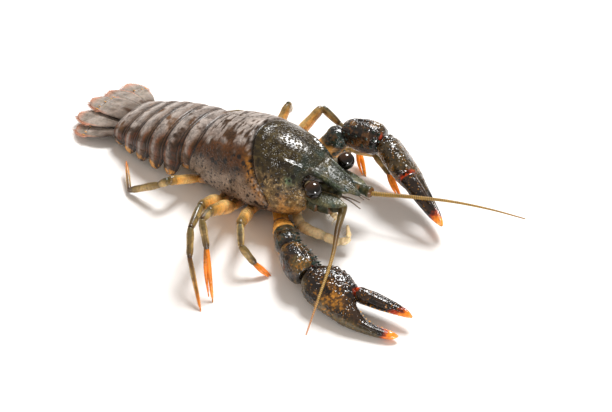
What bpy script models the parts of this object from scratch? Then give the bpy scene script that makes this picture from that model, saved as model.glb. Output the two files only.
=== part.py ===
"""A stone crayfish as a still, life-size model: a Blender 4.5 script, +Z up, head towards -Y.

Every place below is a triple (x, y, z) in model units, read from the rostrum's tip: x to the
animal's left, y towards its tail, z up from the floor. One unit is a fortieth of the carapace,
so CARAPACE_LENGTH drives the whole animal. Each hard part of the body is an object of its own,
and neighbours keep GAP between their faces.
"""

import math

import bmesh
import bpy
import numpy as np

NAME = "stone_crayfish"
CARAPACE_LENGTH = 0.040  # metres, rostrum tip to the carapace's rear edge
UNIT = CARAPACE_LENGTH / 40
GAP = 0.0003 / UNIT  # between the faces of two neighbouring nodes, in model units
THIN = 0.0005 / UNIT  # the least thickness of a blade, a feeler or a tooth

# The carapace along y: half width, top, height of the widest line, lower edge
CARAPACE_Y = (10.6, 12.0, 14.0, 17.0, 20.0, 24.0, 28.0, 32.0, 36.0, 38.5, 40.0)
CARAPACE_HALF_WIDTH = (6.0, 7.3, 8.6, 9.9, 10.5, 11.0, 11.1, 11.0, 10.6, 10.1, 9.6)
CARAPACE_TOP = (16.2, 16.9, 17.8, 18.9, 19.7, 20.0, 20.1, 19.3, 18.2, 17.2, 16.3)
CARAPACE_WIDEST = (10.4, 10.0, 9.4, 8.9, 8.6, 8.2, 7.9, 7.7, 7.6, 7.6, 7.7)
CARAPACE_EDGE = (4.9, 4.1, 3.6, 3.6, 3.5, 3.3, 3.2, 3.2, 3.4, 4.0, 4.8)
ARCH_POWER = 2.1  # the roundness of its back, 2 for an ellipse
FLANK_POWER = 4.5  # and of the squarer curve below its widest line
GROOVE_TOP_Y = 27.0  # the cervical groove on the midline
GROOVE_REACH = 7.8  # how far forward it runs from there to the flank
GROOVE_DEPTH = 0.75
GROOVE_WIDTH = 0.8

# The rostrum along y: half width, height of its upper face
ROSTRUM_Y = (0.0, 0.9, 2.4, 3.0, 6.0, 9.0, 11.6)
ROSTRUM_HALF_WIDTH = (0.18, 0.7, 1.45, 2.1, 2.75, 3.35, 3.9)
ROSTRUM_TOP = (12.1, 12.45, 13.05, 13.3, 14.5, 15.6, 16.35)
ROSTRUM_THICK = 1.5

# The underside of the thorax, which carries the limbs
UNDERSIDE_Y = (15.7, 18.0, 22.0, 38.0, 39.7)
UNDERSIDE_HALF_WIDTH = (3.4, 4.6, 4.6, 4.6, 4.3)
UNDERSIDE_BOTTOM = (1.9, 1.3, 1.1, 1.1, 1.5)

# The abdomen: the seven borders of its six segments
BORDER_Y = (40.3, 44.6, 49.6, 54.6, 59.4, 64.0, 69.4)
BORDER_TOP = (15.3, 14.7, 13.4, 12.2, 10.5, 8.6, 6.7)
BORDER_HALF_WIDTH = (9.0, 9.9, 10.3, 10.2, 9.8, 9.0, 7.6)
BORDER_WIDEST = (7.6, 7.0, 6.4, 5.8, 5.2, 4.6, 4.0)
BORDER_BELLY = (5.0, 4.8, 4.4, 4.0, 3.5, 3.0, 2.6)
PLEURA_TIP_Z = (4.9, 1.7, 1.5, 1.4, 1.3, 1.4)
STEP = 0.94  # how much smaller a segment starts than the one before it ends

# The tail fan
TELSON_ROOT, TELSON_END = (0.0, 69.4, 5.5), (0.0, 84.6, 3.5)
INNER_UROPOD_ROOT, OUTER_UROPOD_ROOT = (4.4, 69.4, 4.3), (6.1, 69.4, 3.1)
INNER_UROPOD_END_LEFT, INNER_UROPOD_END_RIGHT = (6.4, 84.9, 2.4), (5.6, 84.0, 2.4)
OUTER_UROPOD_END_LEFT, OUTER_UROPOD_END_RIGHT = (13.1, 84.8, 1.15), (8.8, 81.8, 0.95)
TELSON_HALF_WIDTHS = (3.3, 3.75, 3.9, 3.95, 3.9, 3.5, 3.2, 2.5, 1.0)
INNER_UROPOD_HALF_WIDTHS = (0.9, 1.6, 2.3, 2.9, 3.2, 3.2, 2.9, 2.2, 0.9)
OUTER_UROPOD_HALF_WIDTHS = (1.1, 2.0, 2.8, 3.3, 3.5, 3.5, 3.2, 2.4, 0.9)
TELSON_HALF_THICK, UROPOD_HALF_THICK = 0.55, 0.42
UROPOD_TILT = 0.05

# Eyes and feelers
EYE = (6.45, 8.2, 13.75)
EYE_RADIUS = 2.05
STALK_FLAT = 40  # degrees from the eye's axis to the rim of the flat where its stalk ends
STALK_ROOT = (5.0, 10.6 - GAP, 13.1)
SCALE_ROOT, SCALE_TIP = (5.8, 10.6 - GAP, 10.9), (4.1, 0.7, 11.2)
ANTENNULE_ROOT, ANTENNULE_FORK = (1.4, 10.6 - GAP, 10.5), (1.3, 4.2, 10.4)
ANTENNULE_TIPS = ((1.9, -1.4, 9.9), (0.7, -0.6, 10.4))

# Long feelers: the stout base up to JOINT_AT, then the whip, thick at its root
ANTENNA_LEFT = (
    (5.0, 10.6 - GAP, 8.5),
    (5.7, 7.4, 8.2),
    (6.1, 3.8, 8.0),
    (6.1, 0.6, 8.0),
    (8.6, -7.6, 9.3),
    (12.6, -16.0, 9.3),
    (15.9, -24.2, 8.8),
    (18.6, -31.9, 7.9),
)
ANTENNA_RIGHT = (
    (-5.0, 10.6 - GAP, 8.5),
    (-4.8, 7.8, 8.2),
    (-3.8, 5.2, 8.4),
    (-2.4, 3.0, 8.8),
    (-10.4, -1.0, 9.2),
    (-18.4, -5.1, 9.7),
    (-28.9, -8.9, 8.4),
    (-36.0, -11.0, 5.6),
)
JOINT_AT = 3
BASE_RADII = (1.45, 1.4, 1.5, 1.3, 1.35, 1.15, 1.15)
WHIP_LEFT, WHIP_RIGHT = (0.55, 0.1), (0.5, 0.65)  # radius, and what swells its root
WHIP_SWELL_REACH = 0.28  # share of the whip's length

# Third maxillipeds, from the mouth forwards, turned up at the end
MAXILLIPED_RIGHT = (
    (-3.0, 15.4, 2.3),
    (-6.6, 12.0, 2.3),
    (-8.0, 8.2, 3.0),
    (-7.6, 4.2, 2.9),
    (-7.0, 0.9, 2.6),
    (-5.4, -0.7, 3.2),
    (-3.8, 0.6, 5.3),
)
MAXILLIPED_LEFT = (
    (2.8, 15.4, 2.3),
    (3.4, 12.2, 2.3),
    (1.4, 9.0, 3.6),
    (-0.6, 7.2, 4.6),
    (-2.0, 5.6, 5.0),
    (-2.4, 4.2, 4.2),
)

# Great claws: the arm's joints from the thorax to the wrist, then the hand
ARM_RIGHT = ((-4.6 - GAP, 19.0, 2.0), (-9.0, 15.2, 2.1), (-17.9, 6.6, 5.6), (-21.6, -1.0, 4.6))
ARM_LEFT = ((4.6 + GAP, 19.4, 2.0), (9.9, 20.6, 2.4), (18.4, 16.5, 11.6), (20.3, 6.2, 11.8))
ARM_STOUT_RIGHT, ARM_STOUT_LEFT = 1.0, 1.07  # how thick merus and carpus are
MERUS_BOW_RIGHT, MERUS_BOW_LEFT = (0.0, 0.0, 0.0), (1.1, 0.5, 1.0)  # near its root
HAND_RIGHT_TIP = (-21.9, -24.2, 1.3)
HAND_LEFT_TIP = (9.9, -15.9, 3.9)
HAND_RIGHT_ACROSS = (0.94, 0.05, 0.36)
HAND_LEFT_ACROSS = (-0.65, 0.10, 0.75)
# Share of the hand's length, offset across it, half width and half thickness
PALM_ROWS = (
    (0.0, 0.1, 2.3, 2.25),
    (0.06, -0.1, 3.6, 2.75),
    (0.12, 0.05, 4.35, 2.95),
    (0.2, 0.15, 4.9, 3.05),
    (0.3, 0.15, 5.0, 3.05),
    (0.38, -0.1, 4.75, 2.95),
    (0.44, -0.5, 4.3, 2.8),
    (0.47, -0.75, 4.05, 2.65),
)
FIXED_FINGER_ROWS = (
    (0.43, -1.9, 2.8, 2.45),
    (0.52, -2.0, 2.7, 2.25),
    (0.6, -2.4, 2.1, 1.95),
    (0.66, -2.55, 1.65, 1.65),
    (0.75, -2.35, 1.28, 1.38),
    (0.84, -1.85, 1.15, 1.16),
    (0.91, -1.32, 1.02, 0.94),
    (0.96, -0.93, 0.82, 0.7),
    (1.0, -0.4, THIN / 2, THIN / 2),
)
# The same for the movable finger; its offsets run from 1 at the hinge to 0 at its tip
MOVABLE_FINGER_ROWS = (
    (0.483, 1.0, 1.45, 1.9),
    (0.53, 0.95, 1.6, 1.85),
    (0.6, 0.75, 1.68, 1.75),
    (0.7, 0.53, 1.6, 1.55),
    (0.8, 0.3, 1.36, 1.3),
    (0.9, 0.1, 1.0, 0.95),
    (0.96, 0.02, 0.68, 0.68),
    (1.0, 0.0, THIN / 2, THIN / 2),
)
HINGE_OFFSET = 2.85
FINGERS_OPEN_RIGHT = 4.9  # between the finger tips
FINGERS_OPEN_LEFT = 1.2

# Walking legs: how far the thigh bows up, then hip, basis, knee, wrist, finger joint and tip
LEGS = {
    "2_right": (0.4, (-4.9, 24.9, 1.7), (-9.6, 24.0, 1.7), (-21.3, 17.3, 9.6), (-24.1, 14.9, 6.5),
                (-23.9, 11.3, 3.0), (-22.4, 8.3, 0.0)),
    "3_right": (0.4, (-4.9, 28.6, 1.7), (-10.6, 28.4, 1.7), (-25.2, 22.5, 13.5), (-28.9, 21.3, 14.4),
                (-31.4, 18.2, 9.4), (-36.0, 13.5, 0.0)),
    "4_right": (0.4, (-4.9, 32.3, 1.7), (-10.6, 32.0, 1.7), (-23.9, 26.2, 12.2), (-30.1, 23.7, 11.5),
                (-34.2, 20.8, 7.6), (-39.5, 13.9, 0.0)),
    "5_right": (0.0, (-4.9, 38.2, 2.2), (-7.9, 41.6, 2.3), (-16.7, 42.4, 7.0), (-17.8, 44.6, 5.4),
                (-19.8, 53.0, 1.0), (-13.7, 59.5, 3.0)),
    "2_left": (-0.8, (4.9, 24.6, 1.7), (10.4, 24.8, 1.7), (20.6, 15.8, 5.0), (21.4, 9.5, 5.6),
               (19.1, 3.4, 3.6), (17.3, -0.8, 0.0)),
    "3_left": (1.9, (4.9, 28.4, 1.7), (10.4, 28.8, 1.7), (22.8, 26.2, 12.0), (23.6, 21.4, 8.5),
               (22.0, 13.7, 2.9), (18.9, 10.2, 0.0)),
    "4_left": (1.6, (4.9, 32.3, 1.7), (10.4, 33.2, 1.7), (19.8, 34.4, 11.2), (22.8, 36.3, 8.0),
               (26.6, 39.0, 3.8), (27.3, 42.8, 0.0)),
    "5_left": (0.0, (4.9, 38.2, 2.2), (7.9, 41.6, 2.3), (14.6, 43.0, 6.6), (16.0, 46.0, 6.0),
               (16.2, 53.6, 2.4), (13.6, 60.4, 0.0)),
}
PINCER_LEGS = ("2_right", "3_right", "2_left", "3_left")

COLOURS = {
    "shell_olive": ((0.075, 0.062, 0.036), 0.22),
    "shell_brown": ((0.16, 0.105, 0.06), 0.28),
    "tail_grey": ((0.27, 0.2, 0.16), 0.35),
    "claw_dark": ((0.05, 0.055, 0.045), 0.2),
    "limb_orange": ((0.62, 0.3, 0.07), 0.35),
    "limb_olive": ((0.2, 0.19, 0.09), 0.35),
    "eye_black": ((0.01, 0.008, 0.008), 0.05),
    "feeler_brown": ((0.24, 0.15, 0.06), 0.4),
    "belly_pale": ((0.45, 0.36, 0.22), 0.45),
}


def clear_scene():
    for item in list(bpy.data.objects):
        bpy.data.objects.remove(item, do_unlink=True)


def collection(name):
    made = bpy.data.collections.new(name)
    bpy.context.scene.collection.children.link(made)
    return made


def material(name):
    """The named colour as a Principled BSDF, made once."""
    if name in bpy.data.materials:
        return bpy.data.materials[name]
    colour, roughness = COLOURS[name]
    made = bpy.data.materials.new(name)
    made.use_nodes = True
    shader = made.node_tree.nodes["Principled BSDF"]
    shader.inputs["Base Color"].default_value = (*colour, 1)
    shader.inputs["Roughness"].default_value = roughness
    shader.inputs["Metallic"].default_value = 0
    return made


def unit(vector):
    vector = np.asarray(vector, float)
    return vector / np.linalg.norm(vector)


def curve_through(points, count):
    """Points of a smooth Catmull-Rom curve through the given ones, count to each stretch."""
    points = np.asarray(points, float)
    ends = np.vstack([2 * points[0] - points[1], points, 2 * points[-1] - points[-2]])
    made = []
    for i in range(len(points) - 1):
        before, start, end, after = ends[i : i + 4]
        t = np.linspace(0, 1, count, endpoint=False)[:, None]
        made.append(
            0.5
            * (
                2 * start
                + (end - before) * t
                + (2 * before - 5 * start + 4 * end - after) * t**2
                + (3 * start - before - 3 * end + after) * t**3
            )
        )
    return np.vstack([*made, points[-1:]])


def loft(rings, name="piece"):
    """A closed mesh object through rings of equally many points, with a flat cap at each end."""
    rings = np.asarray(rings, float)
    count, sides = rings.shape[:2]
    corner = np.arange(sides)
    following = (corner + 1) % sides
    faces = []
    for i in range(count - 1):
        low, high = i * sides, (i + 1) * sides
        faces += np.stack([low + corner, low + following, high + following, high + corner], 1).tolist()
    faces.append(list(range(sides))[::-1])
    faces.append(list(range((count - 1) * sides, count * sides)))
    mesh = bpy.data.meshes.new(name)
    mesh.from_pydata((rings.reshape(-1, 3) * UNIT).tolist(), [], faces)
    work = bmesh.new()
    work.from_mesh(mesh)
    bmesh.ops.recalc_face_normals(work, faces=work.faces)
    if work.calc_volume(signed=True) < 0:
        bmesh.ops.reverse_faces(work, faces=work.faces)
    work.to_mesh(mesh)
    work.free()
    return bpy.data.objects.new(name, mesh)


def superellipse(sides, power):
    """Cosine and sine round a ring, squared off as the power rises above 2."""
    angle = np.linspace(0, 2 * math.pi, sides, endpoint=False)
    turn = np.stack([np.cos(angle), np.sin(angle)], 1)
    return np.sign(turn) * np.abs(turn) ** (2 / power)


def directions(points):
    """At each point of a path, the mean of the directions on its two sides."""
    steps = np.diff(points, axis=0)
    steps /= np.linalg.norm(steps, axis=1, keepdims=True)
    mean = np.vstack([steps[:1], steps[:-1] + steps[1:], steps[-1:]])
    return mean / np.linalg.norm(mean, axis=1, keepdims=True)


def sweep_rings(points, widths, heights, sides=8, across=None, power=2.0, trim=(0, 0)):
    """Rings square to a path. Widths lie along the direction across, which is carried on from
    ring to ring without twisting. Trim moves the end rings inwards along the path."""
    points = np.array(points, float)
    widths, heights = np.asarray(widths, float), np.asarray(heights, float)
    along = directions(points)
    points[0] += along[0] * trim[0]
    points[-1] -= along[-1] * trim[1]
    if across is None:
        across = np.cross(along[0], (0, 0, 1))
    outline = superellipse(sides, power)
    rings = []
    for point, direction, width, height in zip(points, along, widths, heights):
        across = unit(across - np.dot(across, direction) * direction)
        upward = np.cross(across, direction)
        rings.append(point + outline[:, :1] * width * across + outline[:, 1:] * height * upward)
    return np.array(rings)


def floor_ring(place, radius, sides):
    """A small flat foot on the floor."""
    outline = superellipse(sides, 2)
    ring = np.zeros((sides, 3))
    ring[:, :2] = np.array(place[:2]) + outline * radius
    return ring


def spine(root, tip, radius, sides=5):
    """A cone from its sunk root to a fine point."""
    across = np.cross(unit(np.subtract(tip, root)), (0.3, 0.2, 0.9))
    radii = [radius, radius * 0.12]
    return loft(sweep_rings([root, tip], radii, radii, sides, across))


def knob(place, radius, outward, height=0.6):
    """A low tubercle: a short six-sided frustum standing on the surface."""
    place, outward = np.asarray(place, float), unit(outward)
    path = [place - outward * radius, place + outward * radius * height]
    radii = [radius, radius * 0.5]
    return loft(sweep_rings(path, radii, radii, 6, np.cross(outward, (0.2, 1, 0.1))))


def baked(item):
    """The object's evaluated mesh."""
    bpy.context.view_layer.update()
    graph = bpy.context.evaluated_depsgraph_get()
    return bpy.data.meshes.new_from_object(item.evaluated_get(graph))


def keep_largest(mesh):
    """Drops every closed surface of the mesh but the largest."""
    work = bmesh.new()
    work.from_mesh(mesh)
    left = set(work.verts)
    islands = []
    while left:
        found, edge = set(), [left.pop()]
        while edge:
            vertex = edge.pop()
            found.add(vertex)
            for link in vertex.link_edges:
                other = link.other_vert(vertex)
                if other in left:
                    left.discard(other)
                    edge.append(other)
        islands.append(found)

    def spread(island):
        places = np.array([vertex.co for vertex in island])
        return float(np.prod(np.ptp(places, axis=0) + 1e-6))

    largest = max(islands, key=spread)
    loose = [vertex for island in islands if island is not largest for vertex in island]
    bmesh.ops.delete(work, geom=loose, context="VERTS")
    work.to_mesh(mesh)
    work.free()


def fused(pieces, solver="EXACT"):
    """One object from closed pieces that overlap."""
    body = pieces[0]
    if len(pieces) == 1:
        return body
    scene = bpy.context.scene.collection
    others = bpy.data.collections.new("others")
    scene.children.link(others)
    scene.objects.link(body)
    for piece in pieces[1:]:
        others.objects.link(piece)
    union = body.modifiers.new("union", "BOOLEAN")
    union.operation = "UNION"
    union.operand_type = "COLLECTION"
    union.collection = others
    union.solver = solver
    mesh = baked(body)
    for piece in pieces:
        bpy.data.objects.remove(piece, do_unlink=True)
    bpy.data.collections.remove(others)
    keep_largest(mesh)
    return bpy.data.objects.new("fused", mesh)


def above_floor(item):
    """Presses whatever would reach below the floor flat against it."""
    mesh = item.data
    places = np.empty(len(mesh.vertices) * 3)
    mesh.vertices.foreach_get("co", places)
    places = places.reshape(-1, 3)
    places[:, 2] = np.maximum(places[:, 2], 0)
    mesh.vertices.foreach_set("co", places.ravel())
    mesh.update()
    return item


def node(name, item, colour, body, parent):
    """Names the finished solid, gives it its material and hangs it on the animal's empty."""
    item.name = name
    item.data.name = name
    item.data.materials.clear()
    item.data.materials.append(material(colour))
    item.data.shade_smooth()
    item.data.set_sharp_from_angle(angle=math.radians(40))
    body.objects.link(item)
    item.parent = parent
    return item


def carapace_section(y):
    """Half width, top, widest line and lower edge of the carapace at y."""
    rows = (CARAPACE_HALF_WIDTH, CARAPACE_TOP, CARAPACE_WIDEST, CARAPACE_EDGE)
    return [np.interp(y, CARAPACE_Y, row) for row in rows]


def carapace_ring(y, sides):
    """A ring of the shield: a rounded arch above its widest line, a squarer curve below it, and
    the cervical groove pressed in where the ring crosses it."""
    half, top, widest, edge = carapace_section(y)
    angle = np.linspace(0, 2 * math.pi, sides, endpoint=False)
    upper = np.sin(angle) >= 0
    power = np.where(upper, ARCH_POWER, FLANK_POWER)
    across = np.sign(np.cos(angle)) * np.abs(np.cos(angle)) ** (2 / power)
    rise = np.sign(np.sin(angle)) * np.abs(np.sin(angle)) ** (2 / power)
    height = np.where(upper, top - widest, widest - edge)
    from_top = np.arccos(np.clip(np.sin(angle), -0.4, 1))
    groove_y = GROOVE_TOP_Y - GROOVE_REACH * (1 - np.cos(from_top)) ** 0.9
    fade = np.clip((math.radians(105) - from_top) / 0.3, 0, 1)
    press = GROOVE_DEPTH * fade * np.exp(-(((y - groove_y) / GROOVE_WIDTH) ** 2))
    x = across * (half - press)
    z = widest + rise * (height - press)
    return np.stack([x, np.full(sides, y), z], 1)


def rostrum_rings():
    """Eight-sided rings of the rostrum, its side margins raised above a shallow trough."""
    rings = []
    for y, half, top in zip(ROSTRUM_Y, ROSTRUM_HALF_WIDTH, ROSTRUM_TOP):
        thick = min(ROSTRUM_THICK, 0.5 + half * 0.5)
        lift = 0.12 * half
        outline = (
            (half, -lift),
            (half * 0.82, lift),
            (0.0, -lift * 0.6),
            (-half * 0.82, lift),
            (-half, -lift),
            (-half * 0.55, -thick),
            (0.0, -thick * 1.15),
            (half * 0.55, -thick),
        )
        rings.append([(x, y, top + z) for x, z in outline])
    return rings


def shield_point(y, from_top):
    """A place on the carapace, the angle from its crest in degrees, positive to the left."""
    half, top, widest, _ = carapace_section(y)
    turn = math.radians(from_top)
    across = math.copysign(abs(math.sin(turn)) ** (2 / ARCH_POWER), turn)
    rise = abs(math.cos(turn)) ** (2 / ARCH_POWER)
    return np.array([across * half, y, widest + rise * (top - widest)])


def rear_lobe(side):
    """The corner of the shield that reaches back over the first tail segment."""
    rows = (
        (37.5, 9.6, 7.6, 0.8, 2.6),
        (40.0, 10.0, 7.7, 0.5, 2.9),
        (41.4, 10.0, 7.7, 0.4, 2.2),
        (42.3, 9.95, 7.7, 0.25, 1.0),
    )
    outline = superellipse(12, 2.4)
    rings = []
    for y, x, z, thick, tall in rows:
        ring = np.stack([side * x + outline[:, 0] * thick, np.full(12, y), z + outline[:, 1] * tall], 1)
        rings.append(ring)
    return loft(rings)


def carapace():
    """The shield over head and thorax with its rostrum and the ridges behind the eyes. It is smooth
    behind the groove: a stone crayfish has no spines there."""
    ys = np.unique(np.concatenate([CARAPACE_Y, np.arange(17.0, 29.0, 0.75), np.arange(30, 38, 2.0)]))
    pieces = [loft([carapace_ring(y, 36) for y in ys]), loft(rostrum_rings())]
    for side in (-1, 1):
        pieces.append(rear_lobe(side))
        ridge_start, ridge_end = shield_point(13.0, side * 33), shield_point(17.6, side * 36)
        path = [ridge_start - (0, 0, 0.1), ridge_end - (0, 0, 0.4)]
        pieces.append(loft(sweep_rings(path, [0.45, 0.3], [0.55, 0.25], 6)))
    return fused(pieces)


def underside():
    """The floor of the thorax: a keel with flat sides that the limbs stand against."""
    rings = []
    stations = [y for y in CARAPACE_Y if UNDERSIDE_Y[0] < y < UNDERSIDE_Y[-1]]
    for y in sorted({*UNDERSIDE_Y, *stations}):
        half, bottom = (np.interp(y, UNDERSIDE_Y, row) for row in (UNDERSIDE_HALF_WIDTH, UNDERSIDE_BOTTOM))
        top = carapace_section(y)[3] - GAP
        outline = (
            (half, top),
            (-half, top),
            (-half, bottom + 0.5),
            (-half * 0.6, bottom),
            (half * 0.6, bottom),
            (half, bottom + 0.5),
        )
        rings.append([(x, y, z) for x, z in outline])
    return loft(rings)


def abdomen_ring(y, scale, sides=28):
    """A ring of the abdomen: a round back over a flatter belly."""
    borders = (BORDER_HALF_WIDTH, BORDER_TOP, BORDER_WIDEST, BORDER_BELLY)
    half, top, widest, belly = (np.interp(y, BORDER_Y, row) for row in borders)
    outline = superellipse(sides, 2.2)
    height = np.where(outline[:, 1] > 0, (top - widest) * scale, widest - belly)
    return np.stack([outline[:, 0] * half * scale, np.full(sides, y), widest + outline[:, 1] * height], 1)


def pleuron(index, side):
    """The pointed side lobe of a segment, from the flank down and back. The first one is small
    and lies inside the shield's corner."""
    start, end = BORDER_Y[index], BORDER_Y[index + 1]
    middle, length = (start + end) / 2, end - start
    half, widest = (np.interp(middle, BORDER_Y, row) for row in (BORDER_HALF_WIDTH, BORDER_WIDEST))
    half *= 0.9 if index == 0 else 1.0
    tip_z = PLEURA_TIP_Z[index]
    rows = (
        (half * 0.93, middle, widest + 1.2, length * 0.40, 0.7),
        (half * 0.99, middle + 0.1, (widest + tip_z) / 2 + 0.6, length * 0.41, 0.6),
        (half * 1.01, middle + 0.5, (widest + tip_z) / 2 - 0.7, length * 0.34, 0.5),
        (half * 1.0, middle + 1.2, tip_z, length * 0.11, 0.3),
    )
    rings = []
    for x, y, z, reach, thick in rows:
        outline = superellipse(8, 2.4)
        ring = np.stack([side * x + outline[:, 1] * thick, y + outline[:, 0] * reach, np.full(8, z)], 1)
        rings.append(ring)
    return loft(rings)


def swimmeret(index, side):
    """One of the short paddles under the abdomen."""
    y = (BORDER_Y[index] + BORDER_Y[index + 1]) / 2
    belly = np.interp(y, BORDER_Y, BORDER_BELLY)
    hinge, middle = (side * 3.4, y, belly + 0.8), (side * 3.2, y + 0.6, belly - 0.9)
    tip = (side * 2.7, y + 1.4, belly - 2.0)
    return loft(sweep_rings([hinge, middle, tip], [0.55, 0.8, 0.3], [0.4, 0.35, 0.25], 6, (1, 0, 0)))


def abdomen_segment(index):
    """One ring of the tail with its side lobes; the middle ones carry swimmerets."""
    start, end = BORDER_Y[index], BORDER_Y[index + 1] - GAP
    stations = ((start, STEP), (start + 0.9, 0.985), ((start + end) / 2, 1.0), (end, 1.0))
    pieces = [loft([abdomen_ring(y, scale) for y, scale in stations])]
    for side in (-1, 1):
        pieces.append(pleuron(index, side))
        if 1 <= index <= 4:
            pieces.append(swimmeret(index, side))
    return fused(pieces)


def blade(root, end, half_widths, half_thick, tilt):
    """A tail plate: lens-shaped rings along its rib, tilted down on its outer side."""
    path = path_between(root, end, len(half_widths), 0.25)
    across = (math.cos(tilt), 0, -math.sin(tilt))
    fullness = np.minimum(1, np.array(half_widths) / max(half_widths) * 1.6)
    thick = half_thick * (0.75 + 0.25 * fullness)
    rings = sweep_rings(path, half_widths, thick, 12, across, power=2.6)
    rings[0, :, 1] = root[1]
    return loft(rings)


def path_between(start, end, count, rise=0.0):
    """Evenly spaced places on a shallow arc from start to end."""
    t = np.linspace(0, 1, count)[:, None]
    line = np.asarray(start) * (1 - t) + np.asarray(end) * t
    line[:, 2:] += rise * 4 * t * (1 - t)
    return line


def telson():
    return blade(TELSON_ROOT, TELSON_END, TELSON_HALF_WIDTHS, TELSON_HALF_THICK, 0)


def uropod(side, root, end, half_widths):
    root, end = (np.array(place) * (side, 1, 1) for place in (root, end))
    return blade(root, end, half_widths, UROPOD_HALF_THICK, UROPOD_TILT * side)


def turned(place, axis, profile, sides=16):
    """A round solid: (distance along the axis, radius) pairs from a place."""
    side = unit(np.cross(axis, (0, 0, 1)))
    upward = np.cross(side, axis)
    outline = superellipse(sides, 2)
    circle = outline[:, :1] * side + outline[:, 1:] * upward
    return loft([place + axis * along + circle * radius for along, radius in profile])


def eye_axis(side):
    root, centre = np.array(STALK_ROOT), np.array(EYE)
    root[0] *= side
    centre[0] *= side
    return root, centre, unit(centre - root)


def eyestalk(side):
    root, centre, axis = eye_axis(side)
    flat = EYE_RADIUS * math.cos(math.radians(STALK_FLAT))
    end = centre - axis * (flat + GAP)
    path = [root, (root + end) / 2, end]
    rings = sweep_rings(path, [1.15, 1.0, 1.18], [1.15, 1.0, 1.18], 12)
    rings[0, :, 1] = root[1]
    return loft(rings)


def eye(side):
    """A ball with a flat where the stalk meets it."""
    _, centre, axis = eye_axis(side)
    turns = np.radians([180 - STALK_FLAT, 120, 100, 80, 60, 40, 20, 4])
    profile = np.stack([np.cos(turns), np.sin(turns)], 1) * EYE_RADIUS
    return turned(centre, axis, profile)


def jointed(path, radii, start_y=None, sides=8, trim=(0, 0)):
    """A tapering rod with a slight swelling at each joint; its root may lie square to y."""
    rings = sweep_rings(path, radii, radii, sides, trim=trim)
    if start_y is not None:
        rings[0, :, 1] = start_y
    return loft(rings)


def antennule(side):
    """The short inner feeler, forked in two."""
    root, fork = (np.array(place) * (side, 1, 1) for place in (ANTENNULE_ROOT, ANTENNULE_FORK))
    pieces = [jointed([root, (root + fork) / 2, fork], [1.2, 1.1, 0.75], root[1])]
    for tip in ANTENNULE_TIPS:
        tip = np.array(tip) * (side, 1, 1)
        path = curve_through([fork + (0, 0.5, 0), (fork + tip) / 2 + (0, 0, 0.4), tip], 3)
        radii = np.linspace(0.4, THIN / 2, len(path))
        pieces.append(jointed(path, radii, sides=6))
    return fused(pieces)


def antenna(places, whip_radius, swelling):
    """A long feeler in two solids: the stout base of three joints, and the whip. Both stand in
    the same plane where they meet."""
    base, whip = curve_through(places[: JOINT_AT + 1], 2), curve_through(places[JOINT_AT:], 6)
    path = np.vstack([base, whip[1:]])
    share = np.linspace(0, 1, len(whip))
    whip_radii = whip_radius + (THIN / 2 - whip_radius) * share
    whip_radii += swelling * np.exp(-share / WHIP_SWELL_REACH)
    radii = np.concatenate([BASE_RADII, whip_radii[1:]])
    thin_radii = np.concatenate([BASE_RADII[:-1], whip_radii])
    base_rings = sweep_rings(path, radii, radii, 10)[: len(base)]
    whip_rings = sweep_rings(path, thin_radii, thin_radii, 7)[len(base) - 1 :]
    along = directions(path)[len(base) - 1]
    base_rings[0, :, 1] = places[0][1]
    base_rings[-1] -= along * GAP / 2
    whip_rings[0] += along * GAP / 2
    return loft(base_rings), loft(whip_rings)


def antennal_scale(side):
    """The leaf-shaped plate over the feeler's base, ending in a point."""
    root, tip = (np.array(place) * (side, 1, 1) for place in (SCALE_ROOT, SCALE_TIP))
    half_widths, half_thicks = (1.1, 1.7, 1.85, 1.65, 1.1, 0.15), (0.4, 0.42, 0.42, 0.4, 0.35, 0.12)
    rings = sweep_rings(path_between(root, tip, 6), half_widths, half_thicks, 8, (1, 0, -0.25 * side), 2.6)
    rings[0, :, 1] = root[1]
    return loft(rings)


def maxilliped(places):
    path = curve_through(places, 2)
    widths = np.interp(np.linspace(0, 1, len(path)), (0, 0.4, 0.75, 1), (1.25, 1.15, 0.8, 0.35))
    rings = sweep_rings(path, widths, widths * 0.75, 8)
    rings[0, :, 1] = np.minimum(rings[0, :, 1], places[0][1])
    return loft(rings)


def arm_stations(places, stout, bow):
    """The arm's path as stations: place, half width and half height."""
    root, hip, elbow, wrist = (np.array(place, float) for place in places)
    return (
        (root, 1.8, 1.25),
        ((root + hip) / 2, 1.7, 1.2),
        (hip, 1.8, 1.3),
        (hip * 0.7 + elbow * 0.3 + bow, 2.45 * stout, 2.3 * stout),
        (hip * 0.3 + elbow * 0.7, 2.6 * stout, 2.9 * stout),
        (elbow, 2.4, 2.5),
        (elbow * 0.72 + wrist * 0.28, 3.2, 3.4),
        (elbow * 0.35 + wrist * 0.65, 3.6, 3.6 * stout),
        (wrist, 2.3, 2.3),
    )


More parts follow.
